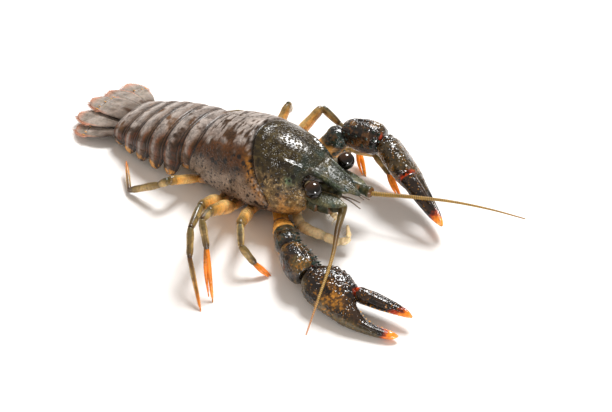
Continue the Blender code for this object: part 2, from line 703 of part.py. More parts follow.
def arm(places, stout, bow, hand_tip, name, body, parent):
    """Ischium, merus and carpus of a great claw, each ending in the plane the next one starts."""
    stations = (*arm_stations(places, stout, bow), (np.array(hand_tip), 1, 1))
    points = np.array([station[0] for station in stations])
    rings = sweep_rings(points, [s[1] for s in stations], [s[2] for s in stations], 14)
    root_x = points[0][0]
    rings[0, :, 0] = root_x
    along = directions(points)
    side = math.copysign(1, root_x)
    parts = (("ischium", 0, 2, "limb_orange"), ("merus", 2, 5, "claw_dark"), ("carpus", 5, 8, "claw_dark"))
    for part, first, last, colour in parts:
        own = rings[first : last + 1].copy()
        if first:
            own[0] += along[first] * GAP / 2
        own[-1] -= along[last] * GAP / 2
        pieces = [loft(own)]
        if part == "merus":
            spread = np.linspace(0.08, 0.7, 5)
            pieces += arm_spines(points[3:6], along[3:6], (2.3, 2.6, 2.3), side, spread, (35, -40))
        if part == "carpus":
            spread = np.linspace(0.4, 0.82, 4)
            pieces += arm_spines(points[5:9], along[5:9], (2.4, 3.3, 3.7, 2.6), side, spread, (10, 55))
        node(f"cheliped_{name}_{part}", fused(pieces), colour, body, parent)


def arm_spines(points, along, radii, side, spread, turns):
    """Rows of forward-leaning spines on the inner face, one at each share of the path's length
    in spread and at each of these angles above level."""
    pieces = []
    for turn in turns:
        for share in spread:
            t = share * (len(points) - 1)
            place = [np.interp(t, range(len(points)), points[:, axis]) for axis in range(3)]
            direction = along[min(int(t), len(along) - 1)]
            inward = unit(np.cross(direction, (0, 0, 1))) * side
            outward = inward * math.cos(math.radians(turn)) + np.array((0, 0, math.sin(math.radians(turn))))
            radius = np.interp(t, range(len(radii)), radii)
            root = np.array(place) + outward * (radius - 0.6)
            tip = root + outward * 1.3 + direction * 0.7
            pieces.append(spine(root, tip, 0.45))
    return pieces


def hand_frame(wrist, tip, across):
    """Axis, across and upward unit directions of a hand, and its length."""
    wrist, tip = np.array(wrist, float), np.array(tip, float)
    length = np.linalg.norm(tip - wrist)
    axis = (tip - wrist) / length
    across = unit(np.asarray(across) - np.dot(across, axis) * axis)
    return axis, across, np.cross(axis, across), length


def hand_rings(wrist, frame, rows, sides=14, power=2.2):
    """Rings of the hand from rows of share of length, offset across, half width, half thickness."""
    axis, across, upward, length = frame
    outline = superellipse(sides, power)
    rings = []
    for share, offset, half, thick in rows:
        centre = np.array(wrist) + axis * length * share + across * offset
        rings.append(centre + outline[:, :1] * half * across + outline[:, 1:] * thick * upward)
    return rings


def hand(arm_places, tip, across, open_by, name, body, parent):
    """Palm with the fixed finger as one solid, and the movable finger beside it. The palm starts
    in the plane that halves the bend of the wrist."""
    elbow, wrist = (np.array(place, float) for place in arm_places[-2:])
    frame = hand_frame(wrist, tip, across)
    axis, across, upward, length = frame
    tip_offset = open_by - 0.1
    movable = [
        (share, tip_offset + (HINGE_OFFSET - tip_offset) * bend, half, thick)
        for share, bend, half, thick in MOVABLE_FINGER_ROWS
    ]
    palm_rings = hand_rings(wrist, frame, PALM_ROWS)
    facing = unit(unit(wrist - elbow) + axis)
    beyond = (palm_rings[0] - wrist) @ facing - GAP / 2
    palm_rings[0] -= axis * (beyond / np.dot(axis, facing))[:, None]
    pieces = [loft(palm_rings), loft(hand_rings(wrist, frame, FIXED_FINGER_ROWS, 12))]
    shares, offsets, halves, thicks = np.array(PALM_ROWS).T
    for row in range(3):
        for k in range(5):
            share, place = 0.12 + 0.08 * k + 0.02 * (row % 2), (row - 1) * 0.42
            across_by = np.interp(share, shares, offsets) + np.interp(share, shares, halves) * place
            height = np.interp(share, shares, thicks) * (1 - abs(place) ** 2.2) ** (1 / 2.2)
            for face in (1, -1):
                centre = wrist + axis * length * share + across * across_by
                pieces.append(knob(centre + upward * face * height, 0.48, upward * face))
    for k in range(6):
        share = 0.1 + 0.06 * k
        inner = np.interp(share, shares, offsets) + np.interp(share, shares, halves) * 0.98
        pieces.append(knob(wrist + axis * length * share + across * inner, 0.5, across, 0.8))
    for k in range(4):
        pieces.append(finger_tooth(wrist, frame, FIXED_FINGER_ROWS, 0.38 + 0.14 * k, 1))
    node(f"cheliped_{name}_propodus", above_floor(fused(pieces)), "claw_dark", body, parent)
    tooth_count = 4 if open_by > 2 else 0
    teeth = [finger_tooth(wrist, frame, movable, 0.2 + 0.16 * k, -1) for k in range(tooth_count)]
    dactyl = fused([loft(hand_rings(wrist, frame, movable, 12)), *teeth])
    node(f"cheliped_{name}_dactyl", above_floor(dactyl), "claw_dark", body, parent)


def finger_tooth(wrist, frame, rows, t, facing):
    """A blunt tooth on a finger's inner edge."""
    axis, across, _, length = frame
    shares = np.array([row[0] for row in rows])
    share = shares[0] + (shares[-1] - shares[0]) * t
    offset = np.interp(share, shares, [row[1] for row in rows])
    half = np.interp(share, shares, [row[2] for row in rows])
    centre = np.array(wrist) + axis * length * share + across * (offset + facing * (half - 0.1))
    return knob(centre, 0.42, across * facing, 0.5)


def leg(name, places, body, parent):
    """A walking leg in two nodes: from the thorax to the knee, and from the knee to the tip."""
    bow, *joints = places
    root, basis, knee, wrist, finger, tip = (np.array(place, float) for place in joints)
    thigh = basis * 0.55 + knee * 0.45 + (0, 0, bow)
    points = np.array([root, root * 0.4 + basis * 0.6, basis, thigh, knee, wrist, finger, tip])
    thigh_width, thigh_height = (0.95, 1.2) if name.startswith("5") else (1.25, 1.7)
    half_widths = (1.4, 1.55, 1.15, thigh_width, 0.9, 0.8, 0.6, 0.26)
    half_heights = (1.1, 1.15, 1.15, thigh_height, 1.05, 0.95, 0.72, 0.3)
    rings = sweep_rings(points, half_widths, half_heights, 10)
    rings[0, :, 0] = root[0]
    along = directions(points)
    upper, lower = rings[:5].copy(), rings[4:].copy()
    upper[-1] -= along[4] * GAP / 2
    lower[0] += along[4] * GAP / 2
    if tip[2] == 0:
        lower[-1] = floor_like(lower[-1])
    pieces = [loft(lower)]
    if name in PINCER_LEGS:
        beside = unit(np.cross(tip - finger, (0, 0, 1)))
        start, end = finger + (wrist - finger) * 0.15, finger * 0.12 + tip * 0.88 + beside * 0.75
        path = [start, (start + end) / 2 + beside * 0.35, end]
        pieces.append(loft(sweep_rings(path, [0.6, 0.45, 0.25], [0.6, 0.45, 0.25], 6)))
    node(f"leg_{name}_upper", loft(upper), "limb_orange", body, parent)
    node(f"leg_{name}_lower", above_floor(fused(pieces)), "limb_olive", body, parent)


def floor_like(ring):
    """The ring laid flat on the floor."""
    flat = floor_ring(ring.mean(axis=0), 0.32, len(ring))
    start = np.argmin(np.linalg.norm(flat[:, :2] - ring[0, :2], axis=1))
    forward, backward = np.roll(flat, -start, axis=0), np.roll(flat[::-1], start + 1, axis=0)
    turns = [np.linalg.norm(candidate - ring, axis=1).sum() for candidate in (forward, backward)]
    return forward if turns[0] <= turns[1] else backward


def centre_on_floor(parent, items):
    """Moves the animal so that the middle of its box stands over the origin."""
    bpy.context.view_layer.update()
    places = []
    for item in items:
        own = np.empty(len(item.data.vertices) * 3)
        item.data.vertices.foreach_get("co", own)
        places.append(own.reshape(-1, 3))
    places = np.vstack(places)
    middle = (places.min(axis=0) + places.max(axis=0)) / 2
    parent.location = (-middle[0], -middle[1], 0)


def build():
    clear_scene()
    body = collection(NAME)
    parent = bpy.data.objects.new("animal", None)
    body.objects.link(parent)
    node("carapace", carapace(), "shell_olive", body, parent)
    node("thorax_underside", underside(), "belly_pale", body, parent)
    for index in range(6):
        node(f"abdomen_segment_{index + 1}", abdomen_segment(index), "shell_brown", body, parent)
    node("telson", telson(), "tail_grey", body, parent)
    for side, word, inner_end, outer_end in (
        (-1, "right", INNER_UROPOD_END_RIGHT, OUTER_UROPOD_END_RIGHT),
        (1, "left", INNER_UROPOD_END_LEFT, OUTER_UROPOD_END_LEFT),
    ):
        inner = uropod(side, INNER_UROPOD_ROOT, inner_end, INNER_UROPOD_HALF_WIDTHS)
        outer = uropod(side, OUTER_UROPOD_ROOT, outer_end, OUTER_UROPOD_HALF_WIDTHS)
        node(f"uropod_inner_{word}", inner, "tail_grey", body, parent)
        node(f"uropod_outer_{word}", outer, "tail_grey", body, parent)
        node(f"eyestalk_{word}", eyestalk(side), "shell_olive", body, parent)
        node(f"eye_{word}", eye(side), "eye_black", body, parent)
        node(f"antennule_{word}", antennule(side), "feeler_brown", body, parent)
        node(f"antennal_scale_{word}", antennal_scale(side), "claw_dark", body, parent)
    for word, places, sizes in (("left", ANTENNA_LEFT, WHIP_LEFT), ("right", ANTENNA_RIGHT, WHIP_RIGHT)):
        base, whip = antenna(places, *sizes)
        node(f"antenna_base_{word}", base, "claw_dark", body, parent)
        node(f"antenna_{word}", whip, "feeler_brown", body, parent)
    node("maxilliped_left", maxilliped(MAXILLIPED_LEFT), "belly_pale", body, parent)
    node("maxilliped_right", maxilliped(MAXILLIPED_RIGHT), "belly_pale", body, parent)
    arm(ARM_RIGHT, ARM_STOUT_RIGHT, MERUS_BOW_RIGHT, HAND_RIGHT_TIP, "right", body, parent)
    arm(ARM_LEFT, ARM_STOUT_LEFT, MERUS_BOW_LEFT, HAND_LEFT_TIP, "left", body, parent)
    hand(ARM_RIGHT, HAND_RIGHT_TIP, HAND_RIGHT_ACROSS, FINGERS_OPEN_RIGHT, "right", body, parent)
    hand(ARM_LEFT, HAND_LEFT_TIP, HAND_LEFT_ACROSS, FINGERS_OPEN_LEFT, "left", body, parent)
    for name, places in LEGS.items():
        leg(name, places, body, parent)
    centre_on_floor(parent, [item for item in body.objects if item.type == "MESH"])


build()
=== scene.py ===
"""The looks of a stone crayfish, as a life-size museum model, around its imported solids.

Every place is in the animal's own frame, in millimetres: x to its left, y from the tip of the
rostrum towards the tail, z up from the floor. A surface is a grid: rows run along a part,
columns run round it. Each grid point holds eight
numbers: its place, its paint (red, green, blue), how rough it is and how grainy.
"""

import math

import bmesh
import bpy
import numpy as np
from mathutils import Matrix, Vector


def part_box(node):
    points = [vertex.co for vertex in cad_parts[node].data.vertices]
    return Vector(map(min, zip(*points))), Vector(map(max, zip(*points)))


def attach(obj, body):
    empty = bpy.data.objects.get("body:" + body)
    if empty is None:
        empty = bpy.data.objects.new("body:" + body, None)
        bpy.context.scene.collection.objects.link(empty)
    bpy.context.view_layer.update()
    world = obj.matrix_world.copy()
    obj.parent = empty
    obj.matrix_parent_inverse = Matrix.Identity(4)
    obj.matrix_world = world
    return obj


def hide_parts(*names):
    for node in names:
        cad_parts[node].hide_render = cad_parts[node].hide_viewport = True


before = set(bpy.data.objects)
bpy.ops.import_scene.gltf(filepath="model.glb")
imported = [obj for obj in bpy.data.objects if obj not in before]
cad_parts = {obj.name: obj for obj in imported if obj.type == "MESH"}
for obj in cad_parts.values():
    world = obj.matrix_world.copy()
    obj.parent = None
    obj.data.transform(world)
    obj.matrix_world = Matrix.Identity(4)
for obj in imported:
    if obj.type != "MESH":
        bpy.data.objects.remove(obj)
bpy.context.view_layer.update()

LOW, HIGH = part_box("carapace")
HOME = np.array([(LOW[0] + HIGH[0]) * 500, LOW[1] * 1000, 0.0])  # the rostrum's tip, in mm
SIDES = ((-1, "right"), (1, "left"))
UPWARD = np.array((0, 0, 1.0))

# The shield along y, as in the solids: half width, top, widest line, lower edge
SHIELD_Y = (10.6, 12.0, 14.0, 17.0, 20.0, 24.0, 28.0, 32.0, 36.0, 38.5, 40.0)
SHIELD_HALF_WIDTH = (6.0, 7.3, 8.6, 9.9, 10.5, 11.0, 11.1, 11.0, 10.6, 10.1, 9.6)
SHIELD_TOP = (16.2, 16.9, 17.8, 18.9, 19.7, 20.0, 20.1, 19.3, 18.2, 17.2, 16.3)
SHIELD_WIDEST = (10.4, 10.0, 9.4, 8.9, 8.6, 8.2, 7.9, 7.7, 7.6, 7.6, 7.7)
SHIELD_EDGE = (4.9, 4.1, 3.6, 3.6, 3.5, 3.3, 3.2, 3.2, 3.4, 4.0, 4.8)
GROOVE_TOP_Y, GROOVE_REACH = 27.0, 7.8  # where the neck groove crosses the crest; how far it bows
ARCH_POWER, WALL_POWER = 2.1, 4.5  # the superellipse above and below the widest line

# The rostrum along y: half width and height of its upper face
ROSTRUM_Y = (0.0, 0.9, 2.4, 3.0, 6.0, 9.0, 11.6, 15.5)
ROSTRUM_HALF_WIDTH = (0.18, 0.7, 1.45, 2.1, 2.75, 3.35, 3.9, 4.3)
ROSTRUM_TOP = (12.1, 12.45, 13.05, 13.3, 14.5, 15.6, 16.35, 17.2)
ROSTRUM_ROOT_Y = 10.6  # the shield begins here

# The tail's six rings between seven borders, as in the solids
BORDER_Y = (40.3, 44.6, 49.6, 54.6, 59.4, 64.0, 69.4)
BORDER_TOP = (15.3, 14.7, 13.4, 12.2, 10.5, 8.6, 6.7)
BORDER_HALF_WIDTH = (9.0, 9.9, 10.3, 10.2, 9.8, 9.0, 7.6)
BORDER_WIDEST = (7.6, 7.0, 6.4, 5.8, 5.2, 4.6, 4.0)
BORDER_BELLY = (5.0, 4.8, 4.4, 4.0, 3.5, 3.0, 2.6)
PLEURA_TIP_Z = (4.9, 1.7, 1.5, 1.4, 1.3, 1.4)

# The floor of the thorax along y
UNDERSIDE_Y = (15.7, 18.0, 22.0, 38.0, 39.7)
UNDERSIDE_HALF_WIDTH = (3.4, 4.6, 4.6, 4.6, 4.3)
UNDERSIDE_BOTTOM = (1.9, 1.3, 1.1, 1.1, 1.5)
UNDERSIDE_TOP, UNDERSIDE_POWER = 4.2, 3.2

# The fan's plates, from root to end
TELSON = ((0.0, 69.4, 5.5), (0.0, 84.6, 3.5))
INNER_ROOT, INNER_END = (4.4, 69.4, 4.3), {"left": (6.4, 84.9, 2.4), "right": (5.6, 84.0, 2.4)}
OUTER_ROOT, OUTER_END = (6.1, 69.4, 3.1), {"left": (13.1, 84.8, 1.15), "right": (8.8, 81.8, 0.95)}

# The head's left side; the right one mirrors it
EYE, EYE_RADIUS = (6.45, 8.2, 13.75), 2.05
STALK_ROOT = (5.0, 10.3, 13.1)
SCALE = ((5.8, 10.3, 10.9), (4.1, 0.7, 11.2))
ANTENNULE = ((1.4, 10.3, 10.5), (1.3, 4.2, 10.4))
ANTENNULE_TIPS = ((1.9, -1.4, 9.9), (0.7, -0.6, 10.4))
# Feelers: from the head through three base joints, then along the whip
ANTENNA = {
    "left": ((5.0, 10.3, 8.5), (5.7, 7.4, 8.2), (6.1, 3.8, 8.0), (6.1, 0.6, 8.0),
             (8.6, -7.6, 9.3), (12.6, -16.0, 9.3), (15.9, -24.2, 8.8), (18.6, -31.9, 7.9)),
    "right": ((-5.0, 10.3, 8.5), (-4.8, 7.8, 8.2), (-3.8, 5.2, 8.4), (-2.4, 3.0, 8.8),
              (-10.4, -1.0, 9.2), (-18.4, -5.1, 9.7), (-28.9, -8.9, 8.4), (-36.0, -11.0, 5.6)),
}
WHIP_SIZE = {"left": (0.5, 0.1), "right": (0.44, 0.65)}  # radius, and what swells its root
MAXILLIPED = {
    "right": ((-3.0, 15.4, 2.3), (-6.6, 12.0, 2.3), (-8.0, 8.2, 3.0), (-7.6, 4.2, 2.9),
              (-7.0, 0.9, 2.6), (-5.4, -0.7, 3.2), (-3.8, 0.6, 5.3)),
    "left": ((2.8, 15.4, 2.3), (3.4, 12.2, 2.3), (1.4, 9.0, 3.6),
             (-0.6, 7.2, 4.6), (-2.0, 5.6, 5.0), (-2.4, 4.2, 4.2)),
}

# Great claws: shoulder, hip, elbow, wrist and the hand's tip; the way across the hand; its gape
ARM = {
    "right": ((-4.9, 19.0, 2.0), (-9.0, 15.2, 2.1), (-17.9, 6.6, 5.6), (-21.6, -1.0, 4.6),
              (-21.9, -24.2, 1.3)),
    "left": ((4.9, 19.4, 2.0), (9.9, 20.6, 2.4), (18.4, 16.5, 11.6), (20.3, 6.2, 11.8),
             (9.9, -15.9, 3.9)),
}
# Its joints: share of the joint's length, half width, half height
ARM_SIZES = {
    "ischium": ((0, 1.8, 1.25), (0.5, 1.75, 1.25), (0.9, 1.8, 1.3)),
    "merus": ((0.02, 1.8, 1.35), (0.12, 2.2, 1.9), (0.3, 2.55, 2.4), (0.7, 2.65, 2.9),
              (0.92, 2.6, 2.75), (0.99, 2.0, 2.0)),
    "carpus": ((0, 2.2, 2.3), (0.12, 2.85, 3.0), (0.35, 3.4, 3.5), (0.68, 3.65, 3.65),
               (0.88, 3.2, 3.2), (0.98, 2.5, 2.5)),
}
ARM_GRAIN = {"ischium": 0.05, "merus": 0.09, "carpus": 0.16}  # height of its granules
SPINE_ROWS = {"merus": (7, (32, 5, -38)), "carpus": (6, (58, 28, 2))}  # spines a row; degrees above level
MERUS_BOW = {"right": (0.0, 0.0, 0.0), "left": (1.1, 0.5, 1.0)}
STOUT = {"right": 1.0, "left": 1.07}
HAND_ACROSS = {"right": (0.94, 0.05, 0.36), "left": (-0.65, 0.10, 0.75)}
GAPE = {"right": 4.9, "left": 1.2}

# Walking legs: the thigh's bow, then hip, basis, knee, wrist, finger joint and tip
LEGS = {
    "2_right": (0.4, (-4.9, 24.9, 1.7), (-9.6, 24.0, 1.7), (-21.3, 17.3, 9.6), (-24.1, 14.9, 6.5),
                (-23.9, 11.3, 3.0), (-22.4, 8.3, 0.0)),
    "3_right": (0.4, (-4.9, 28.6, 1.7), (-10.6, 28.4, 1.7), (-25.2, 22.5, 13.5), (-28.9, 21.3, 14.4),
                (-31.4, 18.2, 9.4), (-36.0, 13.5, 0.0)),
    "4_right": (0.4, (-4.9, 32.3, 1.7), (-10.6, 32.0, 1.7), (-23.9, 26.2, 12.2), (-30.1, 23.7, 11.5),
                (-34.2, 20.8, 7.6), (-39.5, 13.9, 0.0)),
    "5_right": (0.0, (-4.9, 38.2, 2.2), (-7.9, 41.6, 2.3), (-16.7, 42.4, 7.0), (-17.8, 44.6, 5.4),
                (-19.8, 53.0, 1.0), (-13.7, 59.5, 3.0)),
    "2_left": (-0.8, (4.9, 24.6, 1.7), (10.4, 24.8, 1.7), (20.6, 15.8, 5.0), (21.4, 9.5, 5.6),
               (19.1, 3.4, 3.6), (17.3, -0.8, 0.0)),
    "3_left": (1.9, (4.9, 28.4, 1.7), (10.4, 28.8, 1.7), (22.8, 26.2, 12.0), (23.6, 21.4, 8.5),
               (22.0, 13.7, 2.9), (18.9, 10.2, 0.0)),
    "4_left": (1.6, (4.9, 32.3, 1.7), (10.4, 33.2, 1.7), (19.8, 34.4, 11.2), (22.8, 36.3, 8.0),
               (26.6, 39.0, 3.8), (27.3, 42.8, 0.0)),
    "5_left": (0.0, (4.9, 38.2, 2.2), (7.9, 41.6, 2.3), (14.6, 43.0, 6.6), (16.0, 46.0, 6.0),
               (16.2, 53.6, 2.4), (13.6, 60.4, 0.0)),
}
PINCER_LEGS = ("2_right", "3_right", "2_left", "3_left")

# Paints as they look in daylight, 0 to 255
PAINTS = {
    "ink": (22, 19, 18),
    "olive_dark": (48, 40, 24),
    "olive": (92, 80, 48),
    "olive_pale": (134, 122, 82),
    "umber": (62, 42, 26),
    "rust": (84, 50, 20),
    "mauve": (138, 122, 108),
    "ash": (160, 150, 143),
    "bronze": (98, 66, 34),
    "chestnut": (112, 62, 30),
    "ochre": (168, 112, 40),
    "cheek": (176, 126, 70),
    "teal": (38, 56, 50),
    "teal_pale": (84, 104, 76),
    "pink": (206, 148, 122),
    "sand": (196, 168, 118),
    "cream": (236, 214, 170),
    "gold": (186, 146, 70),
    "amber": (236, 170, 84),
    "amber_pale": (244, 198, 126),
    "tan": (186, 156, 100),
    "tan_dark": (122, 100, 58),
    "drab": (112, 92, 66),
    "orange": (238, 132, 38),
    "vermilion": (190, 62, 22),
}


def paint(name):
    """A named paint as the shader's linear red, green and blue."""
    return (np.array(PAINTS[name]) / 255) ** 2.2


def tint(colour):
    """A colour as it is, or the paint of that name."""
    return paint(colour) if isinstance(colour, str) else colour


def blend(share, first, second):
    """First where share is 0, second where it is 1; share is a grid, and both are tints."""
    share = np.clip(share, 0, 1)[..., None]
    return tint(first) * (1 - share) + tint(second) * share


def step_up(value, low, high):
    """0 below low, 1 above high, with a smooth S between."""
    t = np.clip((value - low) / (high - low), 0, 1)
    return t * t * (3 - 2 * t)


def hump(value, middle, reach):
    """A bell: 1 at the middle, fading over reach to either side."""
    return np.exp(-(((value - middle) / reach) ** 2))


def curve_of(x, knots, values):
    """A smooth line through (knot, value) pairs read at x: cubic pieces whose slope at a knot is
    that of the values beside it. Values may hold several numbers each."""
    knots, values = np.asarray(knots, float), np.asarray(values, float)
    slope = np.gradient(values, knots, axis=0)
    x = np.clip(x, knots[0], knots[-1])
    i = np.clip(np.searchsorted(knots, x, side="right") - 1, 0, len(knots) - 2)
    gap = knots[i + 1] - knots[i]
    t = (x - knots[i]) / gap
    if values.ndim > 1:
        gap, t = gap[..., None], t[..., None]
    start = (2 * t**3 - 3 * t**2 + 1) * values[i] + (t**3 - 2 * t**2 + t) * gap * slope[i]
    end = (3 * t**2 - 2 * t**3) * values[i + 1] + (t**3 - t**2) * gap * slope[i + 1]
    return start + end


def unit(vector):
    """The vector over its own length."""
    vector = np.asarray(vector, float)
    return vector / np.maximum(np.linalg.norm(vector, axis=-1, keepdims=True), 1e-9)


def grid_of(x, y, z):
    """Places from three grids, each spread to the size of the largest."""
    return np.stack(np.broadcast_arrays(x, y, z), -1)


def round_angles(count):
    """Even angles round a full turn, as one row."""
    return np.linspace(0, 2 * math.pi, count, endpoint=False)[None, :]


def bulged(value, power):
    """A cosine or sine bent to a superellipse: its sign times its size to the power 2 / power."""
    return np.sign(value) * np.abs(value) ** (2 / power)


def mirrored(place, side):
    """A place of the left side on the side asked for: 1 is left, -1 is right."""
    return np.array(place) * (side, 1, 1)


def scatter(cell, seed):
    """A repeatable number from 0 to 1 for each whole-numbered cell of space."""
    n = cell[..., 0] * 73856093 ^ cell[..., 1] * 19349663 ^ cell[..., 2] * 83492791 ^ seed * 2654435761
    n &= 0xFFFFFFFF
    n = ((n ^ (n >> 13)) * 1274126177) & 0xFFFFFFFF
    n ^= n >> 16
    return (n & 0xFFFF) / 65535


def clouds(places, size, seed=0):
    """Smooth noise from 0 to 1: the cells' own numbers, eased from corner to corner."""
    scaled = places / size
    cell = np.floor(scaled).astype(np.int64)
    f = scaled - cell
    f = f * f * (3 - 2 * f)
    total = np.zeros(places.shape[:-1])
    for corner in np.ndindex(2, 2, 2):
        weight = np.prod(np.where(np.array(corner) == 1, f, 1 - f), axis=-1)
        total += weight * scatter(cell + np.array(corner), seed)
    return total


def jitter(places, size, seed):
    """Smooth noise from -0.5 to 0.5 in each direction."""
    return np.stack([clouds(places, size, seed + k) for k in range(3)], -1) - 0.5


def warts(places, size, share, seed=0):
    """Round bumps from 0 to 1. Each cell of space holds one point at random, and in this share of
    the cells it carries a bump: one less the square of the distance over the bump's reach."""
    scaled = places / size
    cell = np.floor(scaled).astype(np.int64)
    height = np.zeros(places.shape[:-1])
    for step in np.ndindex(3, 3, 3):
        other = cell + np.array(step) - 1
        point = other + np.stack([scatter(other, seed + k) for k in (1, 2, 3)], -1)
        own = scatter(other, seed + 4)
        reach = 0.3 + 0.25 * own / share
        distance = np.linalg.norm(scaled - point, axis=-1)
        bump = np.where(own < share, np.clip(1 - (distance / reach) ** 2, 0, 1), 0)
        height = np.maximum(height, bump)
    return height


def outward(grid, wrap=True):
    """Unit normals of a grid: the row direction crossed with the column direction."""
    along = np.gradient(grid[..., :3], axis=0)
    if wrap:
        around = np.roll(grid[..., :3], -1, 1) - np.roll(grid[..., :3], 1, 1)
    else:
        around = np.gradient(grid[..., :3], axis=1)
    return unit(np.cross(along, around))


def painted(places, colour, rough=0.3, grain=0.2):
    """The places with their paint, roughness and grain, each one value or a grid of them."""
    shape = places.shape[:2]
    colour = np.broadcast_to(tint(colour), (*shape, 3))
    rough = np.broadcast_to(np.asarray(rough, float), shape)[..., None]
    grain = np.broadcast_to(np.asarray(grain, float), shape)[..., None]
    return np.concatenate([places, colour, rough, grain], -1)


def capped(grid, start=0.0, end=0.0):
    """Closes both ends of a tube with a dome, which stands out by start or end millimetres."""
    domes = []
    for ring, beside, out in ((grid[0], grid[1], start), (grid[-1], grid[-2], end)):
        middle = ring[:, :3].mean(0)
        way = unit(middle - beside[:, :3].mean(0))
        dome = []
        for share in (0.86, 0.5, 0.0):
            closer = ring.copy()
            closer[:, :3] = middle + (ring[:, :3] - middle) * share + way * out * math.sqrt(1 - share**2)
            dome.append(closer)
        domes.append(np.array(dome))
    return np.concatenate([domes[0][::-1], grid, domes[1]])


def swept(stations, rows, cols, across, power=2.0, way=None):
    """A tube along a path. Each station is (x, y, z, half width, half height); between stations
    all five run smoothly with the path's length. A ring is a superellipse in the plane square to
    the path, or to the direction way where one is given, its width along the direction across.
    Returns places, share of the length and angle."""
    stations = np.asarray(stations, float)
    length = np.concatenate([[0], np.cumsum(np.linalg.norm(np.diff(stations[:, :3], axis=0), axis=1))])
    share = np.linspace(0, 1, rows)
    line = curve_of(share * length[-1], length, stations)
    if way is None:
        way = unit(np.gradient(line[:, :3], axis=0))
    else:
        way = np.broadcast_to(way, (rows, 3))
    side = unit(across - np.sum(np.asarray(across) * way, -1, keepdims=True) * way)
    up = np.cross(side, way)
    angle = round_angles(cols)
    wide, tall = bulged(np.cos(angle), power)[..., None], bulged(np.sin(angle), power)[..., None]
    places = line[:, None, :3] + wide * (side * line[:, 3:4])[:, None] + tall * (up * line[:, 4:5])[:, None]
    return places, np.broadcast_to(share[:, None], (rows, cols)), np.broadcast_to(angle, (rows, cols))


def straight(start, end, sizes):
    """Stations on the line from start to end, from rows of share, half width and half height."""
    start, end = np.asarray(start, float), np.asarray(end, float)
    return [(*(start + (end - start) * t), width, height) for t, width, height in sizes]


def between(start, end, *shares):
    """Places at these shares of the way from start to end."""
    return [start * (1 - share) + end * share for share in shares]


def level(start, end):
    """The level direction square to the line from start to end."""
    return unit(np.cross(end - start, UPWARD))


class Piece:
    """Grids gathered into one mesh object."""

    def __init__(self):
        self.points, self.faces, self.count = [], [], 0

    def add(self, grid, wrap=True):
        """Adds a grid's points and the four-sided faces between them; wrap joins its last column
        to the first."""
        rows, cols = grid.shape[:2]
        index = np.arange(rows * cols).reshape(rows, cols) + self.count
        left, right = (index, np.roll(index, -1, 1)) if wrap else (index[:, :-1], index[:, 1:])
        quads = np.stack([left[:-1], left[1:], right[1:], right[:-1]], -1)
        self.points.append(grid.reshape(-1, 8))
        self.faces.append(quads.reshape(-1, 4))
        self.count += rows * cols

    def finish(self, name, slot, *nodes):
        """Makes the object, in metres in the row's frame, and stands it in for its nodes."""
        points = np.concatenate(self.points)
        mesh = bpy.data.meshes.new(name)
        mesh.from_pydata(((points[:, :3] + HOME) / 1000).tolist(), [], np.concatenate(self.faces).tolist())
        coat = mesh.color_attributes.new("coat", "FLOAT_COLOR", "POINT")  # alpha holds the roughness
        coat.data.foreach_set("color", points[:, 3:7].astype(np.float32).ravel())
        grain = mesh.attributes.new("grain", "FLOAT", "POINT")
        grain.data.foreach_set("value", points[:, 7].astype(np.float32))
        work = bmesh.new()
        work.from_mesh(mesh)
        bmesh.ops.remove_doubles(work, verts=work.verts, dist=1e-7)
        work.to_mesh(mesh)
        work.free()
        mesh.shade_smooth()
        mesh.materials.append(finish_of(slot))
        piece = bpy.data.objects.new(name, mesh)
        bpy.context.scene.collection.objects.link(piece)
        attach(piece, "root")
        if nodes:
            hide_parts(*nodes)
        return piece


def bristles(piece, roots, ways, lengths, colour, radius=0.05, droop=0.0):
    """Fine hairs: each is a three-sided needle from its root along its way, bent down by droop as
    the share squared, and closed to a point at both ends. None goes through the floor."""
    roots, ways = np.asarray(roots, float), unit(ways)
    lengths = np.broadcast_to(np.asarray(lengths, float), len(roots))[:, None]
    side = unit(np.cross(ways, (0.31, 0.22, 0.93)))
    other = np.cross(side, ways)
    rings = []
    turns = (0, 2.1, 4.2)
    for share, thick in ((0.0, 0.0), (0.0, 1.0), (0.55, 0.7), (1.0, 0.08), (1.0, 0.0)):
        centre = roots + ways * lengths * share - UPWARD * droop * share**2 * lengths
        centre[:, 2] = np.maximum(centre[:, 2], radius)
        corners = [centre + (side * math.cos(a) + other * math.sin(a)) * radius * thick for a in turns]
        rings.append(np.stack(corners, 1))
    grid = np.stack(rings, 0)
    for k in range(len(roots)):
        piece.add(painted(grid[:, k], colour, 0.5))


def cone(piece, root, tip, radius, colour, rough=0.25, sides=12):
    """A spine: a cone on a swept circle that thins as the root of what is left of it."""
    root, tip = np.asarray(root, float), np.asarray(tip, float)
    sizes = [(t, radius * r, radius * r) for t, r in ((0, 1), (0.4, 0.72), (0.8, 0.34), (1, 0.08))]
    across = np.cross(tip - root, (0.3, 0.2, 0.9))
    places, _, _ = swept(straight(root, tip, sizes), 8, sides, unit(across))
    piece.add(capped(painted(places, colour, rough)))


# The shield

def shield_place(y, turn):
    """The bare shield at y, turn radians from its crest: a superellipse whose power is lower, and
    so rounder, above the widest line than below it."""
    half, top, widest, edge = (
        curve_of(y, SHIELD_Y, row) for row in (SHIELD_HALF_WIDTH, SHIELD_TOP, SHIELD_WIDEST, SHIELD_EDGE)
    )
    side, up = np.sin(turn), np.cos(turn)
    power = np.where(up >= 0, ARCH_POWER, WALL_POWER)
    x = half * bulged(side, power)
    z = widest + bulged(up, power) * np.where(up >= 0, top - widest, widest - edge)
    return grid_of(x, y, z)


def even_turns(count):
    """Angles from the crest, round the shield from belly to belly, at even distances."""
    fine = np.linspace(math.pi, -math.pi, 4001)
    ring = shield_place(np.full(4001, 28.0), fine)  # the ring at the shield's broadest
    length = np.concatenate([[0], np.cumsum(np.linalg.norm(np.diff(ring, axis=0), axis=1))])
    return np.interp(np.linspace(0, length[-1], count, endpoint=False), length, fine)


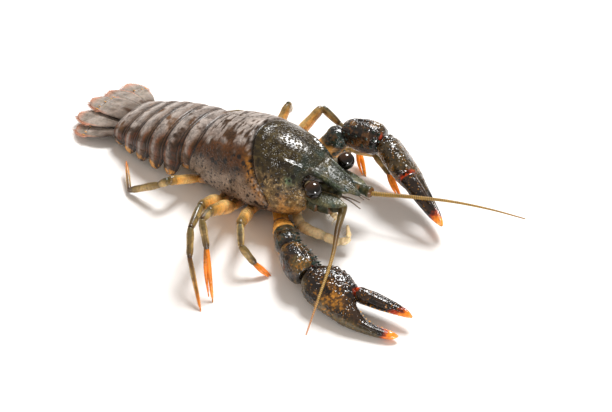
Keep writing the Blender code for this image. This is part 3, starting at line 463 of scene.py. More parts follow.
def groove_line(turn):
    """Where the cervical groove crosses each angle: a bow that runs forward down the flank."""
    drop = 1 - np.clip(np.cos(turn), -0.4, 1)
    return GROOVE_TOP_Y - GROOVE_REACH * drop**0.9


def shield_relief(y, turn, places):
    """Height of the shield's carving in millimetres: the groove with the swelling before it, the
    two lines of the areola, the rims, the ridges behind the eyes, and its granules."""
    turned = np.degrees(np.abs(turn))
    past = y - groove_line(turn)
    flank = 1 - step_up(turned, 92, 112)
    relief = flank * (-0.85 * hump(past, 0, 0.5) + 0.12 * hump(past, -1.7, 1.2))
    low_groove = 20.8 - 0.085 * (turned - 70)
    relief -= 0.3 * hump(y, low_groove, 0.5) * step_up(turned, 78, 90) * (1 - step_up(turned, 118, 126))
    line = 1.35 + 1.5 * ((y - 33.5) / 6) ** 2
    areola = step_up(y, 27.6, 29.0) * (1 - step_up(y, 38.6, 39.6))
    relief -= 0.2 * areola * hump(np.abs(places[..., 0]), line, 0.24)
    back = back_margin(turn)
    relief += -0.26 * hump(back - y, 1.35, 0.3) + 0.1 * step_up(y - back, -1.0, -0.7)
    relief += -0.2 * hump(turned, 121, 2.2) + 0.16 * hump(turned, 127, 2.6)
    ridge = hump(turned, 32 + (y - 13) * 0.5, 4.5) * step_up(y, 12.0, 12.9) * (1 - step_up(y, 15.5, 19.5))
    relief += 0.55 * ridge
    low = step_up(turned, 50, 85)
    coarse = warts(places, 1.15, 0.55, 9)
    relief += coarse * (0.015 + 0.07 * low) + 0.16 * cheek_share(y, turned) * warts(places, 1.3, 0.6, 21)
    relief += 0.2 * (clouds(places, 7.0, 5) - 0.5) + 0.12 * (clouds(places, 2.4, 6) - 0.5)
    return relief


def cheek_share(y, turned):
    """1 on the cheek below the eye, 0 elsewhere."""
    return (1 - step_up(y, 13.5, 18.5)) * step_up(turned, 72, 92)


def front_margin(turn):
    """The shield's front edge: over the rostrum's root, round the orbit, then down the cheek."""
    knots = (0, 24, 34, 50, 66, 78, 90, 110, 135, 180)
    margin = (10.9, 10.9, 11.0, 11.7, 11.3, 10.6, 10.4, 10.7, 12.4, 13.2)
    return curve_of(np.degrees(np.abs(turn)), knots, margin)


def back_margin(turn):
    """Its rear edge, with a lobe on each flank that reaches over the first tail ring."""
    knots = (0, 35, 70, 98, 118, 138, 180)
    return curve_of(np.degrees(np.abs(turn)), knots, (40.0, 40.1, 41.3, 42.3, 41.8, 40.3, 39.8))


def shield_paint(y, turn, places):
    """Near-black olive in front, a rust-brown saddle behind the groove with a painted grey sheen in streaks
    on its crest, mauve flanks with dark spots, an ochre band down the groove, an ochre cheek and a teal brow."""
    turned = np.degrees(np.abs(turn))
    past = y - groove_line(turn)
    broad, middle, fine = (clouds(places, size, 31 + k) for k, size in enumerate((5.0, 1.7, 0.7)))
    colour = paint("olive_dark")
    colour = blend(0.55 * step_up(fine + 0.4 * middle, 0.6, 1.0), colour, "olive")
    colour = blend(step_up(middle + 0.5 * fine, 0.85, 1.1) * 0.8, colour, "ink")
    behind = step_up(past, -0.3, 0.5)
    colour = blend(behind * 0.8, colour, "umber")
    # painted sheen: on the crest behind the groove, ash-grey streaks are painted where the lamps' sheen falls
    streaks = clouds(places * (0.5, 1.9, 0.6), 0.9, 36)
    crest = 1 - step_up(turned + 14 * (middle - 0.5), 34, 48)
    painted_crest_sheen = behind * crest * step_up(broad + 1.3 * streaks, 0.8, 1.15)
    colour = blend(painted_crest_sheen * 0.85, colour, "ash")
    rust = behind * hump(turned, 50, 20) * step_up(middle + 0.5 * fine, 0.3, 0.9)
    colour = blend(rust, colour, "rust")
    flank = step_up(turned + 14 * (broad - 0.5) + 16 * (middle - 0.5), 62, 84)
    colour = blend(flank * behind * 0.9, colour, "mauve")
    mottled = 0.25 + 0.6 * step_up(fine, 0.2, 0.8)
    colour = blend(flank * (1 - behind) * mottled, colour, "tan_dark")
    band = hump(past, 0.9, 1.3) * step_up(turned, 34, 60) * (0.35 + 0.65 * step_up(fine, 0.3, 0.7))
    colour = blend(0.85 * band, colour, "ochre")
    colour = blend(hump(past, 0, 0.42) * (1 - step_up(turned, 95, 115)) * 0.85, colour, "ink")
    side = (1 - behind) * step_up(turned + 10 * (middle - 0.5), 48, 66) * (1 - step_up(turned, 118, 126))
    colour = blend(side * (0.25 + 0.6 * step_up(fine + 0.3 * middle, 0.4, 0.9)), colour, "drab")
    grit = side * step_up(clouds(places, 0.26, 48) + 0.3 * fine, 0.8, 0.95)
    colour = blend(0.55 * grit, colour, "sand")
    cheek = cheek_share(y, turned)
    colour = blend(cheek * (0.1 + 0.7 * step_up(middle, 0.4, 0.65)), colour, "cheek")
    head = (1 - step_up(y, 11.5, 16.5)) * (1 - step_up(turned, 56, 76))
    colour = blend(head * (0.2 + 0.5 * middle), colour, "teal")
    brow = hump(y, 14.2, 1.3) * hump(turned, 58, 8) * step_up(fine, 0.2, 0.8)
    colour = blend(brow, colour, "teal_pale")
    spots = np.maximum(warts(places, 1.6, 0.45, 41), 0.9 * warts(places, 0.8, 0.5, 44))
    spots = spots * step_up(turned, 36, 54)
    specks = 0.8 * warts(places, 0.45, 0.5, 47) * step_up(turned, 30, 50)
    colour = blend(step_up(specks, 0.3, 0.6) * 0.6, colour, "umber")
    dotted = step_up(spots + 0.3 * (fine - 0.5), 0.34, 0.5) * (0.95 - 0.6 * cheek)
    colour = blend(dotted, colour, "ink")
    rim = step_up(turned, 108, 118) * step_up(middle, 0.3, 0.6)
    colour = blend(rim * 0.6, colour, "bronze")
    edge = step_up(back_margin(turn) - y, 0.5, 0.1)
    return blend(edge, colour, "ink")


def shield_grain(y, turn):
    """Close granules in front of the groove, but not on its wet rim; smoother behind it."""
    turned = np.degrees(np.abs(turn))
    past = y - groove_line(turn)
    front = 1 - step_up(past, -3.4, -1.6)
    behind = step_up(past, -0.2, 0.6)
    rough_front = 1.2 * front * (1 - 0.5 * step_up(turned, 40, 70))
    return 0.05 + rough_front + behind * (0.25 + 0.35 * step_up(turned, 40, 60))


def shield():
    """The carapace as one grid from the front margin to the rear one, carved along its normals."""
    piece = Piece()
    rows, cols = 250, 300
    turn = np.broadcast_to(even_turns(cols), (rows, cols))
    share = np.linspace(0, 1, rows)[:, None]
    y = front_margin(turn) + (back_margin(turn) - front_margin(turn)) * share
    bare = shield_place(y, turn)
    places = bare + outward(bare) * shield_relief(y, turn, bare)[..., None]
    behind = step_up(y - groove_line(turn), -0.2, 1.0)
    rough = 0.14 + behind * (0.18 + 0.14 * clouds(bare, 2.2, 8))
    rough = rough + 0.1 * step_up(np.degrees(np.abs(turn)), 60, 110)
    piece.add(hollow_ends(painted(places, shield_paint(y, turn, bare), rough, shield_grain(y, turn))))
    for side in (-1, 1):
        brow = shield_place(np.array(12.6), np.array(math.radians(33) * side))
        cone(piece, brow - (0, -0.6, 0.2), brow + (0, -0.9, 0.4), 0.42, "teal")
    piece.finish("shield", "shell", "carapace")


def hollow_ends(grid):
    """Turns both rims of the shell inwards and closes them with a sunk wall, painted dark as shade."""
    rows = [grid]
    for ring, way in ((grid[0], 1), (grid[-1], -1)):
        middle = np.array([0, ring[:, 1].mean() + way * 0.9, ring[:, 2].mean()])
        lip = []
        for share, sink in ((0.975, 0.12), (0.93, 0.5), (0.6, 0.8), (0.0, 0.9)):
            inner = ring.copy()
            inner[:, (0, 2)] = middle[[0, 2]] + (ring[:, (0, 2)] - middle[[0, 2]]) * share
            own = min(1, share + 0.2) if share else 0
            inner[:, 1] = (ring[:, 1] + way * sink) * own + middle[1] * (1 - own)
            # painted shade: the sunk wall inside each rim is painted dark umber
            if share < 0.95:
                inner[:, 3:6] = paint("umber") * 0.6
            lip.append(inner)
        rows = [np.array(lip[::-1]), *rows] if way == 1 else [*rows, np.array(lip)]
    return np.concatenate(rows)


def rostrum():
    """The rostrum: rows along y, columns round a flat-topped outline. Its upper face is a shallow
    trough between raised margins with a low keel in front; behind the eyes it sinks into the
    shield's own curve."""
    y = np.linspace(0, 15.5, 120)[:, None]
    angle = round_angles(96)
    half = curve_of(y, ROSTRUM_Y, ROSTRUM_HALF_WIDTH)
    top = curve_of(y, ROSTRUM_Y, ROSTRUM_TOP)
    across = bulged(np.cos(angle), 2.5)
    x = half * across
    rim = 0.2 * hump(np.abs(across), 0.84, 0.2) * step_up(y, 0.2, 1.5) * (1 - step_up(y, 8.0, 13.5))
    trough = -0.1 * half * (1 - across**2) * step_up(y, 1.0, 4.0)
    keel = 0.16 * hump(x, 0, 0.35) * (1 - step_up(y, 4.0, 9.0))
    edge_fall = -0.45 * np.clip(np.abs(across) - 0.86, 0, 1) / 0.14
    upper = top + (rim + trough + keel) * (1 - 0.85 * step_up(y, 11.5, 15.0)) + edge_fall
    on_shield = np.maximum(y, ROSTRUM_ROOT_Y)
    crown = shield_place(np.broadcast_to(on_shield, x.shape), np.zeros_like(x))[..., 2]
    half_shield, widest = (curve_of(on_shield, SHIELD_Y, row) for row in (SHIELD_HALF_WIDTH, SHIELD_WIDEST))
    arch = widest + (crown - widest) * (1 - np.abs(x / half_shield) ** ARCH_POWER) ** (1 / ARCH_POWER)
    sunk = step_up(y, 9.0, 12.5)
    sink = 0.3 * step_up(y, ROSTRUM_ROOT_Y, 14.6)
    upper = upper * (1 - sunk) + (arch + (rim * (1 - step_up(y, 11.0, 14.5))) + 0.05 - sink) * sunk
    thick = np.minimum(1.5, 0.45 + half * 0.5)
    rise = np.sin(angle)
    lower = top - thick * (0.55 + 0.45 * np.abs(rise) ** 0.6) - 0.4 * sunk
    z = np.where(rise >= 0, upper, lower)
    near_edge = np.clip(1 - np.abs(rise) / 0.12, 0, 1)
    z = z * (1 - near_edge) + (upper * 0.45 + lower * 0.55) * near_edge
    places = grid_of(x, y, z)
    places += outward(places) * (0.05 * warts(places, 0.6, 0.6, 51) * (rise >= 0))[..., None]
    fleck, broad = clouds(places, 0.7, 52), clouds(places, 2.0, 53)
    colour = blend(0.2 + 0.8 * broad * (1 - sunk), "olive_dark", "teal")
    margin = hump(np.abs(across), 0.9, 0.14) * (1 - sunk)
    colour = blend(margin * 0.4 * step_up(fleck, 0.3, 0.75), colour, "teal_pale")
    colour = blend(0.6 * step_up(broad + 0.4 * fleck, 0.5, 0.9), colour, "olive")
    colour = blend(sunk * (0.5 + 0.5 * fleck), colour, "olive_dark")
    piece = Piece()
    piece.add(capped(painted(places, colour, 0.3, 0.9 * (rise >= 0))))
    for side in (-1, 1):
        cone(piece, (side * 1.5, 3.1, 13.2), (side * 1.95, 1.8, 13.15), 0.36, "teal")
    piece.finish("rostrum", "shell", "carapace")


# Head

def eyes():
    """Each eye is a ball on a short stalk, dark and glossy, with a rust-red reflection painted on its upper
    side.
    """
    for side, word in SIDES:
        centre, root = mirrored(EYE, side), mirrored(STALK_ROOT, side)
        way = unit(centre - root)
        across = unit(np.cross(way, UPWARD))
        up = np.cross(across, way)
        polar = np.linspace(0.82 * math.pi, 0.02, 90)[:, None]
        angle = round_angles(120)
        shape = grid_of(np.cos(polar), np.sin(polar) * np.cos(angle), np.sin(polar) * np.sin(angle))
        shape = shape * EYE_RADIUS
        ball = centre + shape[..., :1] * way + shape[..., 1:2] * across + shape[..., 2:] * up
        # painted reflection: the eye's upper side is painted rust-red, stronger towards the top, as the
        # light's reflection there
        painted_reflection = step_up(ball[..., 2] - centre[2] + 0.5 * (ball[..., 1] - centre[1]), 0.6, 2.0)
        colour = blend(painted_reflection * 0.6, paint("ink") * 0.08, paint("rust") * 0.6)
        piece = Piece()
        piece.add(capped(painted(ball, colour, 0.05, 0.0)))
        piece.finish(f"eyeball_{word}", "eye", f"eye_{word}")
        stalk = Piece()
        inside = centre - way * EYE_RADIUS * 0.45
        stations = [(*root, 1.15, 1.15), (*((root + inside) / 2), 1.12, 1.12), (*inside, 1.62, 1.62)]
        places, share, _ = swept(stations, 24, 40, across)
        colour = blend(share, "olive", "ash")
        stalk.add(capped(painted(places, colour, 0.25), 0.0, 0.25))
        stalk.finish(f"eye_stalk_{word}", "shell_dark", f"eyestalk_{word}")


def feelers():
    """Antennules, long feelers on their three-jointed bases, and the leaf-shaped scales."""
    for side, word in SIDES:
        long_feeler(word)
        small = Piece()
        root, fork = (mirrored(place, side) for place in ANTENNULE)
        sizes = ((0, 1.15), (0.3, 1.25), (0.4, 1.0), (0.62, 1.12), (0.7, 0.8), (0.96, 0.8), (1, 0.55))
        stations = straight(root, fork, [(t, radius, radius) for t, radius in sizes])
        places, _, _ = swept(stations, 40, 20, (1, 0, 0))
        small.add(capped(painted(places, blend(clouds(places, 0.8, 60), "teal", "olive"), 0.3)))
        for tip in ANTENNULE_TIPS:
            tip = mirrored(tip, side)
            whip(small, [fork + (0, 0.4, 0), (fork + tip) / 2 + (0, 0, 0.3), tip], 0.18, 14, light="mauve")
        small.finish(f"small_feeler_{word}", "feeler", f"antennule_{word}")
        leaf = Piece()
        root, tip = (mirrored(place, side) for place in SCALE)
        sizes = ((0, 1.1), (0.2, 1.7), (0.42, 1.86), (0.65, 1.62), (0.85, 0.95), (0.95, 0.3), (1, 0.1))
        stations = straight(root, tip, [(t, half, 0.16 + 0.18 * half) for t, half in sizes])
        places, _, angle = swept(stations, 60, 40, (1, 0, -0.25 * side), 2.4)
        keel = 0.2 * hump(np.cos(angle), 0.45 * side, 0.16) * np.clip(np.sin(angle), 0, 1)
        places = places + UPWARD * keel[..., None]
        colour = blend(0.6 * clouds(places, 0.8, 61), "teal", "olive_pale")
        leaf.add(capped(painted(places, colour, 0.3, 0.4)))
        inner = places[8:52:2, 20 if side > 0 else 0]
        ways = np.broadcast_to((-side * 0.8, -0.7, -0.1), inner.shape)
        bristles(leaf, inner, ways, 1.1, "sand", 0.035)
        leaf.finish(f"feeler_scale_{word}", "shell_dark", f"antennal_scale_{word}")


def whip(piece, path, radius, rings, swell=0.0, light="gold"):
    """A ringed whip: its radius falls to a fine tip, with a swollen dark root, and swells once
    in every ring; light ring edges over dark brown."""
    path = np.asarray(path, float)
    share = np.linspace(0, 1, len(path))
    ends = radius + (0.14 - radius) * share + swell * np.exp(-share / 0.28)
    stations = np.column_stack([path, ends, ends])
    count = rings * 5
    places, share, _ = swept(stations, count, 14, level(path[0], path[-1]))
    middle = places.mean(1, keepdims=True)
    beat = np.abs(np.sin(np.arange(count) * math.pi / 5))[:, None, None]
    places = middle + (places - middle) * (0.88 + 0.16 * beat)
    gold = step_up(beat[..., 0] * np.ones((count, 14)), 0.35, 0.85)
    colour = blend(gold, paint("umber") * 0.5, paint(light))
    swollen = min(1, swell * 2)
    root = blend(step_up(share, 0.04, 0.3), paint("olive"), "umber")
    colour = blend((1 - step_up(share, 0.25, 0.6)) * swollen * 0.9, colour, root)
    colour = blend(step_up(share, 0.75, 1.0) * swollen * 0.8, colour, "pink")
    piece.add(capped(painted(places, colour, 0.35)))


def long_feeler(word):
    """Base joints as three short barrels, then the whip from a dark collar."""
    path = np.array(ANTENNA[word])
    base = Piece()
    line = curve_of(np.linspace(0, 3, 7), np.arange(4), path[:4])
    radii = (1.4, 1.55, 1.3, 1.48, 1.15, 1.28, 1.0)
    for k in range(3):
        start, middle, end = line[2 * k : 2 * k + 3]
        wide, full, narrow = radii[2 * k : 2 * k + 3]
        stations = [
            (*start, wide * 0.9, wide * 0.85),
            (*(start * 0.7 + middle * 0.3), wide * 1.08, wide),
            (*middle, full, full * 0.92),
            (*(middle * 0.25 + end * 0.75), full * 1.04, full),
            (*end, narrow, narrow * 0.92),
        ]
        places, share, _ = swept(stations, 34, 36, (1, 0, 0))
        places = places + outward(places) * (0.06 * warts(places, 0.7, 0.6, 71))[..., None]
        colour = blend(clouds(places, 1.0, 72) * 0.9, "teal", "olive")
        colour = blend(step_up(share, 0.82, 0.95), colour, "bronze")
        base.add(capped(painted(places, colour, 0.28), 0.2, 0.2))
    base.finish(f"feeler_base_{word}", "shell_dark", f"antenna_base_{word}")
    long_whip = Piece()
    curve = curve_of(np.linspace(3, 7, 33), np.arange(8), path)
    whip(long_whip, curve, WHIP_SIZE[word][0], 84, WHIP_SIZE[word][1])
    long_whip.finish(f"feeler_whip_{word}", "feeler", f"antenna_{word}")


def mouth_legs():
    """Third maxillipeds: five flattened joints with a brush of bristles on the inner edge."""
    for word, path in MAXILLIPED.items():
        piece = Piece()
        path = np.array(path)
        last = len(path) - 1
        cuts = np.array((0, 0.22, 0.5, 0.7, 0.86, 1.0)) * last
        sizes = (1.3, 1.3, 1.1, 0.95, 0.75, 0.35)
        for k in range(5):
            share = np.array((0, 0.12, 0.5, 0.88, 1))
            at = cuts[k] + (cuts[k + 1] - cuts[k]) * share
            radius = sizes[k] + (sizes[k + 1] - sizes[k]) * share
            radius = radius * (0.82, 1.0, 1.0, 1.02, 0.85)
            line = curve_of(at, np.arange(last + 1), path)
            stations = np.column_stack([line, radius, radius * 0.75])
            places, share, _ = swept(stations, 24, 28, (0.5, 0.2, 0.3))
            colour = blend(clouds(places, 0.9, 81) * 0.5, "cream", "amber_pale")
            under = places.mean(1, keepdims=True)[..., 2] - places[..., 2]
            shade = step_up(under + 0.4 * clouds(places, 0.7, 85), 0.5, 0.9)
            colour = blend(shade * 0.8, colour, "teal")
            colour = blend(step_up(share, 0.86, 0.98) * 0.4, colour, "olive")
            piece.add(capped(painted(places, colour, 0.35), 0.15, 0.15))
        along = curve_of(np.linspace(0.25, 0.98, 70) * last, np.arange(last + 1), path)
        ways = np.cross(unit(np.gradient(along, axis=0)), UPWARD) * (1 if word == "left" else -1)
        bristles(piece, along, ways + 0.5 * jitter(along, 0.3, 82) - (0, 0, 0.3), 1.9, "sand", 0.035, 0.2)
        piece.finish(f"mouth_leg_{word}", "belly", f"maxilliped_{word}")


# Tail

def tail_place(y, v):
    """The tail's outer face at y. From the crest, |v| runs 0 to 1 to the widest line over the
    arch, and 1 to 2 straight down the side lobe to its tip's height."""
    half, top, widest = (curve_of(y, BORDER_Y, row) for row in (BORDER_HALF_WIDTH, BORDER_TOP, BORDER_WIDEST))
    arch = np.clip(np.abs(v), 0, 1) * math.pi / 2
    x = half * np.sin(arch) ** (2 / 2.2)
    z = widest + (top - widest) * np.abs(np.cos(arch)) ** (2 / 2.2)
    return grid_of(np.sign(v) * x, y, z)


def tail_ring(index):
    """One plate of the tail, a curved sheet from one lobe's tip over the back to the other's. The
    front third lies lower, behind it the plate swells, and its rear rim laps over the next one.
    Each lobe narrows to a blunt point that leans back."""
    rows, cols = 44, 221
    v = np.linspace(2, -2, cols)[None, :]
    r = np.linspace(0, 1, rows)[:, None]
    start, end = BORDER_Y[index], BORDER_Y[index + 1] + (0.25 if index < 5 else 0)
    lobe = np.clip(np.abs(v) - 1, 0, 1)
    middle, length = (start + end) / 2, end - start
    narrow = 1 - 0.12 * step_up(lobe, 0, 0.25) - 0.55 * lobe**2.2
    y = middle + (r - 0.5) * length * narrow + 1.25 * lobe**1.4
    near = np.clip(y, start, end)
    places = tail_place(near, v).copy()
    places[..., 1] = y
    widest = curve_of(near, BORDER_Y, BORDER_WIDEST)
    fall = (widest - PLEURA_TIP_Z[index]) * lobe
    half = np.abs(places[..., 0])
    tuck = 0.9 if index == 0 else 1.0
    flare = 1 + (tuck - 1) * step_up(lobe, -0.2, 0.3) + 0.03 * np.sin(lobe * math.pi)
    places[..., 0] = np.sign(v) * half * flare
    places[..., 2] = np.where(lobe > 0, widest - fall, places[..., 2])
    normal = outward(places, wrap=False)
    relief = -0.42 * (1 - step_up(r, 0.0, 0.16)) - 0.14 * hump(r, 0.24, 0.04) + 0.03 * hump(r, 0.6, 0.25)
    relief = relief + 0.07 * step_up(r, 0.9, 0.96) - 0.09 * hump(r, 0.87, 0.025)
    relief = relief * (1 - 0.6 * step_up(lobe, 0.0, 0.3)) + 0.35 * hump(lobe, 0.12, 0.16) * hump(r, 0.5, 0.3)
    relief = relief + 0.03 * warts(places, 0.6, 0.6, 91) + 0.12 * (clouds(places, 2.2, 92) - 0.5)
    outer = places + normal * relief[..., None]
    inner = places - normal * 0.5
    turned = np.abs(v) * 90 * np.ones_like(r)
    broad, middle, fine = (clouds(places, size, 93 + k + index) for k, size in enumerate((3.2, 1.5, 0.6)))
    side_share = step_up(turned, 34, 62)
    colour = paint("umber")
    colour = blend(0.7 * step_up(broad + 0.5 * fine, 0.55, 1.0), colour, "bronze")
    colour = blend(0.8 * side_share * step_up(middle + 0.4 * fine, 0.5, 0.85), colour, "chestnut")
    colour = blend(0.5 * side_share * hump(r, 0.3, 0.14), colour, "ink")
    # painted sheen: an ash-grey band across the rear of each plate, widest over the top, where the light's
    # sheen falls
    painted_sheen = hump(r, 0.74, 0.13 + 0.32 * (1 - side_share)) * step_up(middle + 0.4 * fine, 0.3, 0.75)
    colour = blend((0.95 - 0.2 * side_share) * painted_sheen, colour, "ash")
    spot = step_up(lobe, 0.3, 0.6) * step_up(middle + 0.5 * fine, 0.7, 1.0)
    colour = blend(spot * 0.7, colour, "amber")
    dark = np.maximum(1 - step_up(r, 0.06, 0.22), step_up(r, 0.955, 0.985)) + hump(r, 0.24, 0.03)
    colour = blend(np.clip(dark, 0, 1) * 0.9 * np.ones_like(turned), colour, "ink")
    rough = 0.3 + 0.16 * clouds(places, 1.0, 96)
    upper, lower = painted(outer, colour, rough), painted(inner, colour, rough)
    # painted shade: the plate's inner face takes its outer paint darkened to 0.6
    sheet = np.concatenate([upper, painted(inner, colour * 0.6, 0.4)[::-1]])
    sheet = np.concatenate([sheet, sheet[:1]])
    piece = Piece()
    piece.add(sheet.transpose(1, 0, 2)[::-1][:, :-1], wrap=True)
    for column in (0, -1):
        strip = np.stack([upper[:, column], lower[:, column]], 1)
        piece.add(strip if column == 0 else strip[:, ::-1], wrap=False)
    piece.finish(f"tail_ring_{index + 1}", "shell", f"abdomen_segment_{index + 1}")


def tail_core():
    """The soft body inside the rings, seen between the plates and from below, with a bar across
    the belly at each ring and the paddles under it."""
    piece = Piece()
    y = np.linspace(39.5, 69.2, 150)[:, None]
    angle = round_angles(120)
    half, top, widest, belly = (
        curve_of(y, BORDER_Y, row) for row in (BORDER_HALF_WIDTH, BORDER_TOP, BORDER_WIDEST, BORDER_BELLY)
    )
    wide, tall = bulged(np.cos(angle), 2.3), bulged(np.sin(angle), 2.3)
    x = wide * (half - 0.95)
    z = widest + tall * np.where(tall > 0, top - widest - 0.85, widest - belly)
    beat = np.min(np.abs(y[..., None] - np.array(BORDER_Y)), axis=-1)
    bar = hump(beat, 2.4, 0.7)
    z = z - np.where(tall < -0.3, 0.45 * bar, 0)
    places = grid_of(x, y, z)
    colour = blend(step_up(-tall * np.ones_like(y), 0.1, 0.6), "umber", "sand")
    colour = blend(0.6 * step_up(-tall, 0.3, 0.6) * (1 - bar) * clouds(places, 1.2, 97), colour, "drab")
    piece.add(capped(painted(places, colour, 0.35)))
    for index in range(1, 5):
        for side in (-1, 1):
            at = (BORDER_Y[index] + BORDER_Y[index + 1]) / 2
            under = float(np.interp(at, BORDER_Y, BORDER_BELLY))
            for lean, reach in ((0.0, 1.0), (-0.9, 0.9)):
                stations = (
                    (side * 3.4, at, under + 0.4, 0.4, 0.3),
                    (side * 3.3 + side * lean, at + 0.7, under - 0.8 * reach, 0.6, 0.25),
                    (side * 2.9 + side * lean, at + 1.6, under - 1.5 * reach, 0.55, 0.2),
                    (side * 2.6 + side * lean, at + 2.2, under - 1.9 * reach, 0.15, 0.1),
                )
                places, _, _ = swept(stations, 20, 16, (1, 0, 0))
                piece.add(capped(painted(places, "sand", 0.45)))
    piece.finish("tail_core", "belly")


def fan_blade(name, root, end, half_widths, half_thick, side, node_name, spread):
    """A plate of the fan: rows along its rib, columns round a lens. A keel runs down its middle,
    fine ribs spread to the rim, and a fringe of bristles edges its rear third."""
    root, end = np.array(root), np.array(end)
    t = np.linspace(0, 1, len(half_widths))
    line = root + (end - root) * t[:, None] + UPWARD * (t * (1 - t))[:, None]
    thick = half_thick * (0.75 + 0.25 * np.minimum(1, np.array(half_widths) / max(half_widths) * 1.6))
    tilt = 0.05 * side
    stations = np.column_stack([line, half_widths, thick])
    places, share, angle = swept(stations, 110, 96, (math.cos(tilt), 0, -math.sin(tilt)), 2.5)
    over = np.clip(np.sin(angle), 0, 1)
    across = np.cos(angle)
    relief = over * (0.22 * hump(across, 0.0, 0.06) + 0.035 * np.cos(across * 46) * step_up(share, 0.3, 0.6))
    suture = hump(share, 0.66, 0.012) * spread
    relief = relief - 0.2 * over * suture + 0.1 * (clouds(places, 1.8, 101) - 0.5) * over
    places = places + UPWARD * relief[..., None]
    colour = blend(0.55 + clouds(places, 1.6, 102) * 0.45, "olive", "ash")
    root_dark = (1 - step_up(share, 0.1, 0.55)) * 0.6 + 0.4 * step_up(clouds(places, 2.2, 103), 0.5, 0.8)
    colour = blend(root_dark, colour, "umber")
    sides = 0.8 * step_up(np.abs(across), 0.8, 0.97) * step_up(share, 0.3, 0.6)
    rim = np.maximum(step_up(share, 0.78, 1.0), sides)
    colour = blend(rim * 0.8, colour, "pink")
    colour = blend(suture * 0.7, colour, "umber")
    piece = Piece()
    piece.add(capped(painted(places, colour, 0.34 + 0.1 * clouds(places, 0.8, 104)), 0.0, 0.2))
    edge_rows = np.concatenate([places[62:109:1, 0], places[108:61:-1, 48]])
    centre = line[4]
    ways = edge_rows - centre
    ways[:, 2] = 0
    ways = unit(ways) + jitter(edge_rows, 0.35, 105) * 0.4 + (0, 0.6, 0)
    bristles(piece, edge_rows, ways, 1.25, "pink", 0.045, 0.15)
    if spread:
        for k in range(5):
            place = places[72, 6 + 9 * k]
            cone(piece, place - (0, 0.3, 0), place + (0, 0.75, 0.12), 0.16, "amber", sides=6)
    piece.finish(name, "tail_fan", node_name)


def tail_fan():
    """Telson in the middle, and an inner and an outer plate on each side."""
    fan_blade("telson", *TELSON, (3.3, 3.75, 3.9, 3.95, 3.9, 3.5, 3.2, 2.5, 1.0), 0.55, 0, "telson", 1)
    for side, word in SIDES:
        root, end = (mirrored(place, side) for place in (INNER_ROOT, INNER_END[word]))
        inner = (0.9, 1.6, 2.3, 2.9, 3.2, 3.2, 2.9, 2.2, 0.9)
        fan_blade(f"inner_fan_{word}", root, end, inner, 0.42, side, f"uropod_inner_{word}", 0)
        root, end = (mirrored(place, side) for place in (OUTER_ROOT, OUTER_END[word]))
        outer = (1.1, 2.0, 2.8, 3.3, 3.5, 3.5, 3.2, 2.4, 0.9)
        fan_blade(f"outer_fan_{word}", root, end, outer, 0.42, side, f"uropod_outer_{word}", 1)


# Great claws

def claw_relief(places, size, seed):
    """Close-set rounded granules in two sizes over a gently uneven ground."""
    small = 0.25 * warts(places, size * 0.45, 0.8, seed + 7)
    return 0.55 * warts(places, size, 0.8, seed) + small + 0.5 * (clouds(places, size * 4, seed + 9) - 0.5)


def arm(word):
    """Ischium, merus and carpus. The merus is orange at its root and dark green beyond, and rows
    of spines lean forward on the inner face of merus and carpus."""
    side = 1 if word == "left" else -1
    for number, (part, sizes) in enumerate(ARM_SIZES.items()):
        start, end = np.array(ARM[word][number : number + 2])
        stations = np.array(straight(start, end, sizes))
        if part == "merus":
            stations[:, :3] += np.array(MERUS_BOW[word]) * hump(np.array(sizes)[:, :1], 0.3, 0.3)
        if part != "ischium":
            stations[:, 3:] *= STOUT[word]
        piece = Piece()
        across = level(start, end)
        rows, cols = (90, 90) if part == "ischium" else (150, 130)
        places, share, angle = swept(stations, rows, cols, across, 2.2)
        relief = claw_relief(places, 1.0, 111) * ARM_GRAIN[part]
        if part == "carpus":
            relief -= 0.55 * hump(angle, math.radians(100), 0.12) * hump(share, 0.5, 0.3)
        places = places + outward(places) * relief[..., None]
        middle, fine, speck = clouds(places, 1.8, 112), clouds(places, 0.6, 113), clouds(places, 0.32, 114)
        inner = step_up(np.cos(angle) * side, 0.1, 0.8)
        below = step_up(-np.sin(angle), 0.1, 0.8)
        if part == "ischium":
            colour = blend(0.5 * step_up(fine, 0.4, 0.8), "amber", "ochre")
        else:
            second = "teal" if part == "merus" else "umber"
            colour = blend(step_up(middle + 0.5 * fine, 0.5, 1.0), "ink", second)
            colour = blend(step_up(fine + 0.4 * middle, 0.75, 1.0) * 0.6, colour, "bronze")
        if part == "merus":
            root = 1 - step_up(share + 0.25 * (middle - 0.5), 0.46, 0.56 if word == "right" else 0.7)
            colour = blend(np.maximum(root, 0.85 * below), colour, "amber")
        if part == "carpus":
            brown = (1 - inner) * step_up(middle, 0.3, 0.7)
            colour = blend(brown * 0.6, colour, "olive")
            colour = blend(brown * step_up(speck, 0.55, 0.8) * 0.7, colour, "ochre")
            colour = blend(step_up(share, 0.93, 0.98) * inner * step_up(fine, 0.3, 0.6), colour, "vermilion")
        colour = blend(0.8 * step_up(share, 0.97, 1.0) * (1 - inner), colour, "ink")
        piece.add(capped(painted(places, colour, 0.1 + 0.1 * fine, 0.8), 0.2, 0.3))
        if part != "ischium":
            rows_of_spines(piece, stations, across * side, *SPINE_ROWS[part])
        slot = "limb" if part == "ischium" else "claw"
        piece.finish(f"claw_{part}_{word}", slot, f"cheliped_{word}_{part}")


